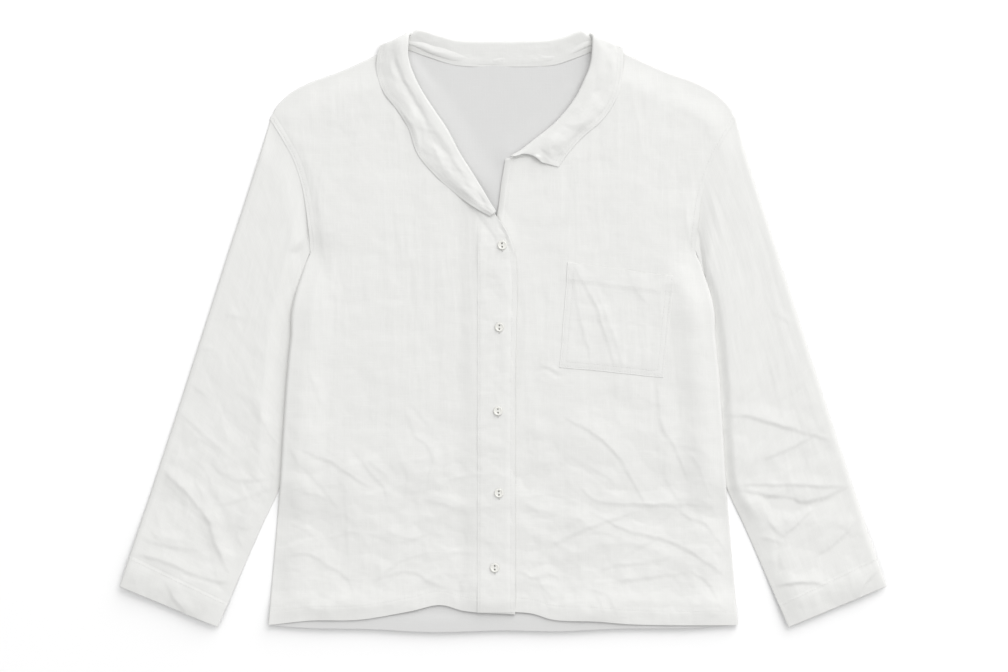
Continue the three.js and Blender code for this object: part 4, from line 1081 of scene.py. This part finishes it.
# ---------------------------------------------------------------- pieces on the fronts
def band():
    """The buttonhole band along the right front's free edge."""
    step_across, step_along = STEP["band"]
    v, u = spread(BAND["top"] - BAND["low"], step_along), spread(BAND["width"] - 1, step_across)
    edge_line = through(RIGHT_EDGE)(np.linspace(0, 1, 400))
    y, from_out = np.meshgrid(mix(BAND["low"], BAND["top"], v), (1 - u) * BAND["width"], indexing="ij")
    x = mix(LAP["stitch"], np.interp(y, edge_line[:, 1], edge_line[:, 0]) - BAND["inset"], u[None])
    from_in = x - LAP["stitch"]
    z = front_top(x, y, True) + 0.22 * crumple(x, y, 201, 0.4)
    z = z + (0.45 + 0.25 * ease(np.minimum(from_in, from_out) / 4)) * between(0, 12, BAND["top"] - y)
    z = z + 0.5 * HEM_EXTRA * falling(*OVER_HEM, y)
    z = settled(z - 0.9 * falling(0, 10, from_out), x, y, y - BAND["low"] + 2, 0.75)
    z = z + groove(from_in - 2, 0.12, 0.9) + groove(from_out - 4, 0.12, 0.9)
    grid = np.dstack([x, y, z])
    piece = sheet_piece("placket_cloth", grid, [(border, turned(0.8, 3)) for border in BORDERS])
    sewing = Stitches()
    for inside in BAND["stitches"]:
        sewing.sew(grid, (2, len(v) - 3), index_at(inside, u * BAND["width"]), 500)
    return piece, sewing.make("placket_stitches"), grid


def pocket():
    """The breast pocket: a patch with a turned mouth, sewn on round its other three sides."""
    wide, high = POCKET["wide"], POCKET["high"]
    low_in, low_out, top_in, top_out = (np.array(POCKET[key], float)
                                        for key in ("low_in", "low_out", "top_in", "top_out"))
    v, u = spread(high, STEP["pocket"]), spread(wide, STEP["pocket"])
    across, up = u[None, :, None], v[:, None, None]
    plan = mix(mix(low_in, low_out, across), mix(top_in, top_out, across), up)
    x, y = plan[..., 0], plan[..., 1]
    x = x + 0.8 * ripple(y / 30, np.full(x.shape, 0.5), 211)
    y = y + 0.6 * ripple(x / 34, np.full(x.shape, 0.5), 213)
    from_low, from_in = np.meshgrid(v * high, u * wide, indexing="ij")
    sewn = np.minimum.reduce([from_low, from_in, wide - from_in])
    under_mouth = high - from_low - POCKET["mouth"]
    form = 0.5 + 0.3 * crumple(x, y, 221, 0.6) + creased(x, y, POCKET_CREASES, 231)
    z = front_top(x, y, False) + 0.45 + ease(sewn / 12) * form + 0.35 * falling(-0.8, 0.8, under_mouth)
    z = z + groove(under_mouth + HEM_STITCH, 0.25, 1)
    for inside in POCKET["stitches"]:
        z = z + groove(sewn - inside, 0.1, 0.9)
    grid = np.dstack([x, y, z])
    piece = sheet_piece("pocket_cloth", grid, [(border, turned(0.7, 3)) for border in BORDERS])
    sewing = Stitches()
    for inside in POCKET["stitches"]:
        low, top = index_at(inside, v * high), index_at(high - 1, v * high)
        sides = index_at((inside, wide - inside), u * wide)
        sewing.sew(grid, low, sides, 200)
        for column in sides:
            sewing.sew(grid, (low, top), column, 200)
    mouth_row = index_at(high - POCKET["mouth"] + HEM_STITCH, v * high)
    sewing.sew(grid, mouth_row, index_at((1, wide - 1), u * wide), 200)
    return piece, sewing.make("pocket_stitches")


# ---------------------------------------------------------------- sleeves
# The cuff's edge turns into the tube: how far out each line of it lies, how far in from its layer's face,
# and how far along the cut cloth.
CUFF_RIM = [(0.4, 0.25), (0.7, 0.6), (0.4, 1.0), (-6, 1.1)]
CUFF_RIM_RUN = (1, 2, 3, 9)
CURL_SHARE = 0.88  # how much of the cuff's curl its upper layer takes
# How far each sleeve is pressed flat beside the body, and the run over which it then rises.
PRESSED = {-1: (10, 16), 1: (0, 12)}


def sleeve(name, side):
    """A sleeve: a flattened tube from the armhole to its turned cuff."""
    v = spread(SLEEVE_LENGTH, STEP["sleeve"])
    outer, inner = through(SLEEVE_OUTER)(v), through(SLEEVE_INNER)(v)
    width = np.linalg.norm(outer - inner, axis=1)[:, None]
    from_arm = v[:, None] * SLEEVE_LENGTH
    from_cuff = SLEEVE_LENGTH - from_arm
    cuff_turn = CUFF_TURN[side]
    cuff = falling(cuff_turn - 2.22, cuff_turn + 2.22, from_cuff)
    from_stitch = cuff_turn - from_cuff - HEM_STITCH
    stitch = groove(from_stitch - 2, 0.3, 1) + groove(from_stitch + 2, 0.3, 1)
    curl = CUFF_CURL * falling(-4, 140, from_cuff) ** 1.4

    def plan_at(w):
        """Plan of the points at shares w across, from the outer to the inner edge."""
        straight = mix(outer[:, None], inner[:, None], w[None, :, None])
        armhole = SIDE_CURVE(mix(1, ARMPIT_SHARE, w)) - mix(outer[0], inner[0], w[:, None])
        plan = straight + falling(0, 0.28, v)[:, None, None] * armhole[None]
        return side * (plan[..., 0] + 0.25 * falling(0, 0.14, v)[:, None]), plan[..., 1]

    def cut_cloth(w):
        """Where the points at shares w across lie on the cut cloth, across and along it."""
        return np.broadcast_arrays(w[None] * width, from_arm)

    def crumpled(w, y):
        """Crumple of the cloth at shares w across, stronger on the lower arm."""
        across, along = cut_cloth(w)
        lower_arm = falling(180, 320, y)
        form = crumple(across * 1.15 + 300, along * 0.9, 301 + side, 0.95) * mix(0.2, 0.85, lower_arm)
        return form + 0.15 * crumple(across, along, 311 + side, 0.45) * mix(0.5, 1, lower_arm)

    def lower_layer(w):
        """Points of the layer on the surface."""
        x, y = plan_at(w)
        away = np.minimum(w, 1 - w)[None] * width
        form = np.clip(0.5 * crumpled(w, y), 0, 1.1) * ease((away - 6) / SLEEVE_UNDER_RUN)
        return np.dstack([x, y, SLEEVE_UNDERSIDE + form - stitch + curl])

    def loose_height(x, y, w, away):
        """Height of the upper layer before it is creased: pressed flat along the body and at its edges."""
        outside = np.abs(x) - half_width(np.minimum(y, ARMPIT_Y)) + np.maximum(y - ARMPIT_Y, 0)
        from_inner = (1 - w)[None] * width
        beside = between(90, 175, y)
        flat, run = PRESSED[side]
        loose = ease((np.minimum(outside, from_inner) - mix(-5, flat, beside)) / mix(30, run, beside))
        loose = loose * ease((away + 6) / 12)
        loose = mix(1, loose, between(0, 30, from_arm))
        swell = beside_sleeve(y) * ease((outside - 2) / 14) * falling(20, 60, outside)
        return mix(SLEEVE_LOW, SLEEVE_HIGH, loose) + SWELL["sleeve"] * swell + CURL_SHARE * curl

    def upper_layer(w):
        """Points of the layer that shows. Its head takes its height from the front beside it."""
        x, y = plan_at(w)
        across, along = cut_cloth(w)
        away = np.minimum(w, 1 - w)[None] * width
        form = crumpled(w, y) + creased(x, y, SLEEVE_CREASES, 321) + 0.5 * crinkle(across, along, 331 + side)
        form = form * mix(0.4, 1, ease(from_arm / 14))
        relief = mix(0.35, 1, ease((away - 4) / 14)) * np.maximum(form, -1.3)
        relief = relief + 0.5 * HEM_EXTRA * cuff + stitch + 0.4 * planes(across, along, 341, 13, 70) * cuff
        sink = near_hem(from_cuff, SETTLE["cuff"])
        z = sunk(loose_height(x, y, w, away), CURL_SHARE * curl + 1.8, sink) + mix(1, 0.75, sink) * relief
        under_body = 0.35 + PIT_DROP * falling(ARMPIT_Y, 500, y[:1])
        head = np.repeat(front_top(x[:1], y[:1], side < 0) - under_body, len(v), axis=0)
        z = np.maximum(mix(head, z, ease((from_arm - 2) / 44)), 0.9)
        low = SLEEVE_UNDERSIDE + curl
        return np.dstack([x, y, low + (z - low) * rolled(away, ROLL)])

    upper_w = spread(SLEEVE_WIDTH, STEP["sleeve"], (0.12, 0.45, 1.0, 1.8, 2.8, 4.0))
    lower_w = spread(SLEEVE_WIDTH, STEP["sleeve_under"], (1.2, 3.0))[-2:0:-1]
    ring = np.concatenate([upper_layer(upper_w), lower_layer(lower_w)], axis=1)
    columns = ring.shape[1]
    round_w = np.concatenate([upper_w, lower_w])
    down = np.clip(np.minimum(round_w, 1 - round_w) * 40, 0, 1)
    down[len(upper_w):] *= -1
    outward = level_unit(ring[-1] - ring[-1 - RIM_REACH])
    rim = np.array([ring[-1] + outward * out - down[:, None] * (0, 0, below) for out, below in CUFF_RIM])
    rim[..., 2] = np.maximum(rim[..., 2], LOWEST)
    along = np.concatenate([v * SLEEVE_LENGTH, np.add(SLEEVE_LENGTH, CUFF_RIM_RUN)])
    across = np.concatenate([upper_w, 2 - lower_w]) * SLEEVE_WIDTH
    flat = np.stack(np.meshgrid(across, along), axis=-1)
    faces = quads(len(along), columns, ring=True)
    piece = make_piece(name, np.concatenate([ring, rim]), faces, LINEN, flat, faces_up=False)
    sewing = Stitches()
    stitch_row = index_at(SLEEVE_LENGTH - cuff_turn + HEM_STITCH, v * SLEEVE_LENGTH)
    sewing.sew(ring, stitch_row, (3, len(upper_w) - 4), 300)
    return piece, sewing.make(name + "_stitches")


# ---------------------------------------------------------------- collar
COLLAR_CURL = {"lift": 4.5, "notch": 5.0, "until": 0.62, "tip": 4.0}  # the free end on the left front
COLLAR_HALF = 0.62  # half of the collar's thickness
COLLAR_COLUMNS = 52  # points across each face of the band
COLLAR_STITCHES = (2.5, 6)
COLLAR_SEEN = (0.45, 0.6)  # between these shares across the band its seen part starts
FOLD_POINT = 4  # which point of a section's middle line is on the fold
COLLAR_FLAT = 70  # width of the band, cut flat
BACK_RISE = {"height": 2.6, "across": (30, 95)}  # how the band behind the neck rises towards the shoulders
COLLAR_LOWER = 1.8  # how much lower the roll lies than the solid's


COMPASS = np.array([(math.cos(a), math.sin(a)) for a in np.arange(8) * math.pi / 4])  # ways round a spot
HALF_ROUND = (math.pi / 4, math.pi / 2, 3 * math.pi / 4)


def section_frame(row):
    """A section's fold point, its direction to the free edge, its direction outwards and its length."""
    fold, edge = np.array(row[:2], float), np.array(row[2:4], float)
    length = np.linalg.norm(edge - fold)
    across = (edge - fold) / length
    side = np.sign(row[0]) or 1
    return fold, across, side * np.array([-across[1], across[0]]), length


def seam_point(row, gap=0.0):
    """Where a section meets the neckline seam, or at a gap past it."""
    fold, across, _, _ = section_frame(row)
    return tuple(fold + across * (row[4] + gap))


def turn_rows(row):
    """The sections where the band turns from on the front to under the back."""
    following = COLLAR_BACK[0] if row[0] < 0 else COLLAR_BACK[-1]
    rows = []
    for degrees in TURN_ANGLES:
        angle = math.radians(degrees)

        def arc(top, low):
            return (top - low) / 2 * math.sin(angle), (top + low) / 2 + (top - low) / 2 * math.cos(angle)

        back_share = 0.6 * float(between(0, 180, degrees))
        drop = TURN["drop"] * (1 - degrees / 180)
        stand, fall = arc(TURN["stand_top"], TURN["stand_low"]), arc(TURN["fall_top"], TURN["fall_low"])
        plan = [*(mix(row[k], following[k], back_share) for k in range(3)), row[3], row[4]]
        rows.append({"plan": plan, "stand": stand, "fall": fall, "seam_out": stand[0],
                     "seam_z": mix(*TURN["seam"], degrees / 180), "over_z": fall[1] - 0.5 * drop,
                     "edge_z": max(TURN["fall_low"], fall[1] - drop)})
    return rows


def front_row(row, right):
    """A section that rests on a front."""
    fold, across, _, length = section_frame(row)

    def highest(point):
        """The front's highest spot at a point and 2 mm round it."""
        spots = np.vstack([point, point + 2 * COMPASS])
        return float(front_top(spots[:, 0], spots[:, 1], right).max())

    seam_z = highest(fold + across * row[4]) + STACK_GAP + CLOTH / 2
    over_z = seam_z + CLOTH + STACK_GAP
    edge_z = highest(fold + across * length) + COLLAR_HALF * 0.7
    narrow = length - row[4] <= 8
    return {"plan": row[:5], "stand": (0, row[5]), "fall": (0, max(row[6] - COLLAR_LOWER, over_z + 0.3)),
            "seam_out": 0, "seam_z": seam_z, "over_z": over_z,
            "edge_z": mix(edge_z, over_z, 0.5) if narrow else edge_z}


def back_row(row):
    """A section that lies under the back's neck."""
    lift = BACK_RISE["height"] * float(between(*BACK_RISE["across"], abs(row[0])))
    fall_z = TURN["fall_low"] + 0.8 * lift
    return {"plan": row, "stand": (0, TURN["stand_low"] + lift), "fall": (0, fall_z), "seam_out": 0,
            "seam_z": 0.75 + 0.2 * lift, "over_z": fall_z, "edge_z": TURN["fall_low"]}


def section_points(row):
    """Middle line of a section, from the neckline seam over the fold to the edge of the fall."""
    fold, across, out, length = section_frame(row["plan"])
    seam = row["plan"][4]
    stand, fall = np.array(row["stand"], float), np.array(row["fall"], float)
    over_z, edge_z = row["over_z"], row["edge_z"]
    radius = np.linalg.norm(fall - stand) / 2
    up = (fall - stand) / 2
    over = min(seam + 1.5, length - 2.5)
    middle = (stand + fall) / 2
    points = [(mix(seam, radius, t), mix(row["seam_out"], stand[0], t), mix(row["seam_z"], stand[1], ease(t)))
              for t in (0, 0.5, 1)]
    points += [(radius - radius * math.sin(a), *(middle - up * math.cos(a))) for a in HALF_ROUND]
    points += [(radius, fall[0], fall[1] - 0.4),
               (mix(radius, over, 0.3), fall[0], fall[1]),
               (mix(radius, over, 0.7), fall[0], mix(fall[1], over_z, 0.6)),
               (over, fall[0], over_z),
               (mix(over, length, 0.55), fall[0], mix(over_z, edge_z, 0.6)),
               (length, fall[0], edge_z)]
    return [[*(fold + across * along + out * offset), z] for along, offset, z in points]


def collar_sheet():
    """The band's middle: its sections' distances along the fold, their points, and the fold's own points."""
    sections = [*(front_row(row, True) for row in COLLAR_RIGHT), *turn_rows(TURN_RIGHT),
                *(back_row(row) for row in COLLAR_BACK), *reversed(turn_rows(TURN_LEFT)),
                *(front_row(row, False) for row in COLLAR_LEFT)]
    controls = np.array([section_points(row) for row in sections])
    t = np.linspace(0, len(controls) - 1, 1400)
    lines = [centripetal(controls[:, k], t) for k in range(controls.shape[1])]
    run = run_along(lines[FOLD_POINT])
    even = np.linspace(0, run[-1], int(run[-1] / STEP["collar"]))
    sheet = np.stack([points_at(even, run, line) for line in lines], axis=1)
    shares = np.linspace(0, 1, COLLAR_COLUMNS)
    return even, np.array([through(section, 240)(shares) for section in sheet]), sheet[:, FOLD_POINT]


def collar_relief(middle, along, across, from_edge, length):
    """Crumple, creases and rows of stitches on the band, along its normal."""
    seen = between(*COLLAR_SEEN, across)
    form = seen * 0.6 * crumple(along, from_edge * 1.1, 401, 0.5)
    form = form + 0.15 * crumple(along, across * 60, 421, 0.3)
    form = form + 1.2 * seen * creased(middle[..., 0], middle[..., 1], COLLAR_CREASES, 431)
    form = form * between(0, 12, along) * between(0, 12, length - along) * between(0, 5, from_edge)
    for inside in COLLAR_STITCHES:
        form = form + groove(from_edge - inside, 0.14, 0.9)
    return form


def curl_free_end(middle, fold_line, from_end, from_edge, across):
    """Lifts the free end on the left front and cuts its notch, by the share from the fold to the edge."""
    fall_length = np.maximum(np.linalg.norm(middle[:, -1:] - fold_line[:, None], axis=2), 1)
    share = np.clip(1 - from_edge / fall_length, 0, 1)
    bow = np.sin(math.pi * np.clip(share / COLLAR_CURL["until"], 0, 1))
    lifted = COLLAR_CURL["lift"] * falling(0, 16, from_end) * between(*COLLAR_SEEN, across)
    middle[..., 2] += lifted * bow ** 2
    notch = COLLAR_CURL["notch"] * bow - COLLAR_CURL["tip"] * np.clip(1 - share / 0.15, 0, 1)
    return middle + level_unit(middle[-12] - middle[-1]) * (notch * falling(0, 14, from_end))[..., None]


def collar_skin(middle, normal, half):
    """Closed rings round the band, one to a section: its outer face, its rounded edge and its inner face. A
    ring at each end is drawn in to the middle line and a little beyond it."""
    edge_out = unit(middle[:, -1] - middle[:, -2])
    edge = [middle[:, -1] + 0.7 * COLLAR_HALF * (normal[:, -1] * math.cos(a) + edge_out * math.sin(a))
            for a in HALF_ROUND]
    outer, inner = middle + normal * half, middle - normal * half
    rings = np.concatenate([outer, np.stack(edge, axis=1), inner[:, ::-1]], axis=1)
    ends = []
    for row, beyond in ((0, middle[0, 0] - middle[2, 0]), (-1, (middle[-1] - middle[-3]).mean(0))):
        line = np.concatenate([middle[row], middle[row, [-1, -1, -1]], middle[row, ::-1]])
        ends.append(mix(line, rings[row], 0.35) + 0.15 * beyond)
    rings = np.concatenate([ends[:1], rings, ends[1:]])
    rings[..., 2] = np.maximum(rings[..., 2], LOWEST)
    return rings


def end_faces(first, last):
    """Faces that close a ring of points: quads between its two faces, and one across its rounded edge."""
    faces = [(first + k, first + k + 1, last - 1 - k, last - k) for k in range(COLLAR_COLUMNS - 1)]
    return [*faces, tuple(range(first + COLLAR_COLUMNS - 1, last - COLLAR_COLUMNS + 2))]


def collar():
    """The collar: a band of two layers, folded over, rolled at the neck and turned at the shoulders."""
    even, middle, fold_line = collar_sheet()
    along, across = np.meshgrid(even, np.linspace(0, 1, COLLAR_COLUMNS), indexing="ij")
    normal = unit(np.cross(np.gradient(middle, axis=0), np.gradient(middle, axis=1)))
    if normal[60, -8, 2] < 0:  # a spot on the fall, whose outer face is up
        normal = -normal
    lengths = np.linalg.norm(np.diff(middle, axis=1), axis=2).sum(1)
    from_edge = (1 - across) * lengths[:, None]
    middle = middle + normal * collar_relief(middle, along, across, from_edge, even[-1])[..., None]
    middle = curl_free_end(middle, fold_line, even[-1] - along, from_edge, across)
    thin = mix(0.45, 1, between(0, 0.12, across)) * mix(0.7, 1, between(0, 6, from_edge))
    half = (COLLAR_HALF * thin * mix(0.45, 1, between(0, 40, along)))[..., None]
    rings = collar_skin(middle, normal, half)
    rows, columns = rings.shape[:2]
    start, end = end_faces(0, columns - 1), end_faces((rows - 1) * columns, rows * columns - 1)
    faces = [*quads(rows, columns, ring=True).tolist(), *(face[::-1] for face in start), *end]
    flat_across = np.linspace(0, COLLAR_FLAT, COLLAR_COLUMNS)
    flat_across = np.concatenate([flat_across, [COLLAR_FLAT] * 3, flat_across[::-1]])
    flat = np.stack(np.meshgrid([even[0], *even, even[-1]], flat_across, indexing="ij"), axis=-1)
    piece = make_piece("collar_cloth", rings, faces, LINEN, flat, faces_up=False)
    sewing = Stitches()
    rows_at = np.linspace(4, len(even) - 5, 900)
    for inside in COLLAR_STITCHES:
        columns_at = (1 - inside / np.interp(rows_at, np.arange(len(even)), lengths)) * (COLLAR_COLUMNS - 1)
        sewing.run(on_grid(middle + normal * half, rows_at, columns_at))
    return piece, sewing.make("collar_stitches")


# ---------------------------------------------------------------- buttons
def lathe(profile, segments):
    """A turned solid from a profile of (radius, height) that starts and ends on the axis."""
    angles = np.arange(segments) * 2 * math.pi / segments
    rings = [np.stack([r * np.cos(angles), r * np.sin(angles), np.full(segments, z)], axis=-1)
             for r, z in profile[1:-1]]
    points = np.concatenate([[[0, 0, profile[0][1]]], *rings, [[0, 0, profile[-1][1]]]])
    last = len(points) - 1
    top = last - segments
    faces = []
    for k in range(segments):
        after = (k + 1) % segments
        faces.append((0, 1 + after, 1 + k))
        for a in range(1, top, segments):
            faces.append((a + k, a + after, a + segments + after, a + segments + k))
        faces.append((top + k, top + after, last))
    return points, faces


def blank(name, points, faces):
    """An object that only serves to make a mesh."""
    mesh = bpy.data.meshes.new(name)
    mesh.from_pydata(points.tolist(), [], faces)
    mesh.update()
    return new_object(name, mesh)


def button_mesh():
    """A two-hole button: domed rim, sunk face with rounded shoulders, and the holes cut through."""
    radius, thick, bore = BUTTON["radius"], BUTTON["thick"], BUTTON["bore"]
    shape = [(0, 0), (0.7, 0), (0.86, 0.1), (0.97, 0.36), (1, 0.6), (0.98, 0.82), (0.92, 0.96), (0.84, 1),
             (0.76, 0.98), (0.68, 0.86), (0.6, 0.76), (0.5, BUTTON["face"]), (0, BUTTON["face"])]
    body = blank("button_blank", *lathe([(radius * r, thick * z) for r, z in shape], 64))
    wider = 1.25 * bore
    drill_shape = [(0, -1), (bore, -1), (bore, thick * 0.62), (wider, thick * 0.8), (wider, 4), (0, 4)]
    drill_points, drill_faces = lathe(drill_shape, 28)
    drills = []
    for spot in (-1, 1):
        drills.append(blank("drill", drill_points + (0, spot * BUTTON["from_middle"], 0), drill_faces))
        cut = body.modifiers.new("hole", "BOOLEAN")
        cut.object = drills[-1]
        cut.operation = "DIFFERENCE"
        cut.solver = "EXACT"
    bpy.context.view_layer.update()
    mesh = bpy.data.meshes.new_from_object(body.evaluated_get(bpy.context.evaluated_depsgraph_get()))
    for leftover in (body, *drills):
        bpy.data.objects.remove(leftover)
    mesh.transform(Matrix.Scale(0.001, 4))
    mesh.materials.clear()
    mesh.materials.append(SHELL)
    mesh.polygons.foreach_set("use_smooth", [True] * len(mesh.polygons))
    mesh.set_sharp_from_angle(angle=math.radians(40))
    return mesh


def tube(path, radius, sides):
    """Points and faces of a tube along a path, closed at both ends."""
    tangent = unit(np.gradient(path, axis=0))
    across = unit(np.cross(tangent, (1.0, 0, 0)))[:, None]
    up = np.cross(across, tangent[:, None])
    angles = (np.arange(sides) * 2 * math.pi / sides)[None, :, None]
    points = path[:, None] + radius * (across * np.cos(angles) + up * np.sin(angles))
    last = (len(path) - 1) * sides
    faces = [*quads(len(path), sides, ring=True).tolist(), range(sides)[::-1], range(last, last + sides)]
    return points.reshape(-1, 3), [list(face) for face in faces]


def joined(parts):
    """The points and faces of several parts as one."""
    faces, start = [], 0
    for points, part_faces in parts:
        faces.extend([start + k for k in face] for face in part_faces)
        start += len(points)
    return np.concatenate([points for points, _ in parts]), faces


def button_thread(x, y, under):
    """Two strands from hole to hole over the button's face, bent down into the holes."""
    reach = BUTTON["from_middle"]
    ys = np.linspace(0.2 - reach, reach - 0.2, 11)
    zs = BUTTON["thick"] * BUTTON["face"] + 0.18 - 2.2 * np.clip(np.abs(ys / reach) - 0.55, 0, 1) ** 1.1
    strands = [np.stack([np.full(11, x + offset), y + ys, under + zs], axis=-1) for offset in (-0.18, 0.18)]
    return joined([tube(strand, BUTTON["thread"], 6) for strand in strands])


def buttonhole(x, y, band_z):
    """The ring of thread round a buttonhole, on the band under its button."""
    t = np.linspace(0, 2 * math.pi, 220)
    half = BUTTONHOLE["half"]
    xs = x + BUTTONHOLE["beside"] * np.cos(t)
    ys = y - BUTTONHOLE["below"] + np.clip(8 * np.sin(t), -half, half)
    zs = np.array([band_z(*spot) for spot in zip(xs, ys)]) + 0.12 + 0.1 * np.sin(t * 55)
    return tube(np.stack([xs, ys, zs], axis=-1), BUTTONHOLE["thread"], 8)


def buttons(band_grid):
    """The five buttons, each with its thread, the shade in its holes and its buttonhole."""
    def band_z(x, y):
        away = (band_grid[..., 0] - x) ** 2 + (band_grid[..., 1] - y) ** 2
        return band_grid.reshape(-1, 3)[np.argmin(away), 2]

    made = []
    mesh = button_mesh()
    for i, (x, y) in enumerate(BUTTON_SPOTS):
        under = max(band_z(*spot) for spot in BUTTON["rests_on"] * COMPASS + (x, y)) + 0.15
        tilt = np.random.default_rng(500 + i).uniform(-1, 1, 3)
        piece = new_object(f"button_{i + 1}_shell", mesh.copy())
        piece.location = place([x, y, under])[0]
        piece.rotation_euler = tilt * (0.05, 0.05, 0.12)
        bpy.context.view_layer.update()
        made.append((piece, [f"button_{i + 1}"], "button"))
        disc_points, disc_faces = lathe([(0, 0), (BUTTON["shade"], 0), (BUTTON["shade"], 0.1), (0, 0.1)], 24)
        threads = [(f"button_{i + 1}_thread", button_thread(x, y, under), THREAD),
                   (f"button_{i + 1}_shade", (disc_points + (x, y, under + 0.02), disc_faces), HOLE_SHADE),
                   (f"buttonhole_{i + 1}", buttonhole(x, y, band_z), THREAD)]
        for name, (points, faces), material in threads:
            made.append((make_piece(name, points, faces, material, faces_up=False), [], "linen"))
    return made


# ---------------------------------------------------------------- the whole garment
def dress():
    right, right_rows = front("front_right_cloth", -1, RIGHT_HEM, RIGHT_EDGE, COLLAR_RIGHT, 0, True)
    left, left_rows = front("front_left_cloth", 1, LEFT_HEM, LEFT_EDGE, COLLAR_LEFT[::-1], 3, False)
    behind = back("back_cloth")
    placket, placket_rows, band_grid = band()
    patch_pocket, pocket_rows = pocket()
    neckband, collar_rows = collar()
    arm_right, arm_right_rows = sleeve("sleeve_right_cloth", -1)
    arm_left, arm_left_rows = sleeve("sleeve_left_cloth", 1)
    sheets = [
        (right, "front_right", {"flat": (0.276, 0.65), "area": 0.143, "held": "laid", "rests_on": ["back"]}),
        (left, "front_left", {"flat": (0.29, 0.65), "area": 0.150, "held": "laid", "rests_on": ["back"]}),
        (behind, "back", {"flat": (0.52, 0.66), "area": 0.315, "held": "laid", "rests_on": []}),
        (placket, "placket", {"flat": (0.045, 0.43), "held": "laid", "rests_on": ["front_right"]}),
        (patch_pocket, "pocket", {"flat": (0.122, 0.122), "held": "laid", "rests_on": ["front_left"]}),
        (neckband, "collar", {"flat": (0.075, 0.66), "area": 0.036, "held": "folded",
                              "rests_on": ["front_right", "front_left"]}),
        (arm_right, "sleeve_right", {"flat": (0.3, 0.57), "area": 0.118, "held": "laid", "rests_on": []}),
        (arm_left, "sleeve_left", {"flat": (0.3, 0.57), "area": 0.118, "held": "laid", "rests_on": []}),
    ]
    for piece, _, cut in sheets:
        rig.sheet(piece, **cut)
    rows = (right_rows, left_rows, placket_rows, pocket_rows, collar_rows, arm_right_rows, arm_left_rows)
    pieces = [(piece, [node], "linen") for piece, node, _ in sheets]
    pieces += [(piece, [], "linen") for piece in rows]
    for piece, nodes, slot in pieces + buttons(band_grid):
        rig.ride(piece, "root")
        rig.slot(piece, slot)
        if nodes:
            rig.replaces(piece, *nodes)


# ---------------------------------------------------------------- studio
VIEW_CENTRE = (1.1, 322.3)  # middle of the view on the garment's plan
VIEW_WIDTH = 1108.8  # how much of the surface the view is wide
LENS, SENSOR = 100, 36
WORLD = 0.52  # strength of the light from all round
# Lamps: kind, strength, angle in degrees or size in metres, elevation, azimuth from +Y towards +X, distance.
LAMPS = {"window": ("AREA", 313, 6.0, 30, 30, 6.0), "sky": ("SUN", 1.0, 90, 84, 30, 5.0)}
FLOOR = {"reach": 6, "below": 0.0003}


def camera():
    scene = bpy.context.scene
    data = bpy.data.cameras.new("camera")
    data.lens = LENS
    data.sensor_width = SENSOR
    data.clip_end = 50
    scene.camera = new_object("camera", data)
    x, y, _ = place([*VIEW_CENTRE, 0])[0]
    scene.camera.location = (x, y, VIEW_WIDTH / 1000 * LENS / SENSOR)


def floor():
    """A matt white surface, a little below the shirt."""
    reach = FLOOR["reach"]
    mesh = bpy.data.meshes.new("floor")
    corners = [(-reach, -reach, 0), (reach, -reach, 0), (reach, reach, 0), (-reach, reach, 0)]
    mesh.from_pydata(corners, [], [(0, 1, 2, 3)])
    material, nodes, links, shader = new_material("floor_white", 0.9, specular=0.0)
    coloured(nodes, links, shader, noise_node(nodes, links, None, 3), [(0.895,) * 3, (0.905,) * 3])
    mesh.materials.append(material)
    surface = new_object("floor", mesh)
    surface.location.z = -FLOOR["below"]
    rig.stage(surface)


def lights():
    world = bpy.data.worlds.new("studio")
    world.use_nodes = True
    background = world.node_tree.nodes["Background"]
    background.inputs["Color"].default_value = (1, 1, 1, 1)
    background.inputs["Strength"].default_value = WORLD
    bpy.context.scene.world = world
    for name, (kind, strength, wide, elevation, azimuth, distance) in LAMPS.items():
        lamp = bpy.data.lights.new(name, kind)
        lamp.energy = strength
        if kind == "SUN":
            lamp.angle = math.radians(wide)
        else:
            lamp.size = wide
        a, e = math.radians(azimuth), math.radians(elevation)
        towards = Vector((math.sin(a) * math.cos(e), math.cos(a) * math.cos(e), math.sin(e)))
        light = new_object(name, lamp)
        light.rotation_euler = towards.to_track_quat("Z", "Y").to_euler()
        light.location = towards * distance


bpy.context.scene.view_settings.view_transform = "Standard"
camera()
floor()
lights()
dress()
size = {"cad": [list(corner) for corner in CAD_BOX], "visual": [list(corner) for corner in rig.bounds()]}
with open("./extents.json", "w") as out:
    json.dump(size, out)
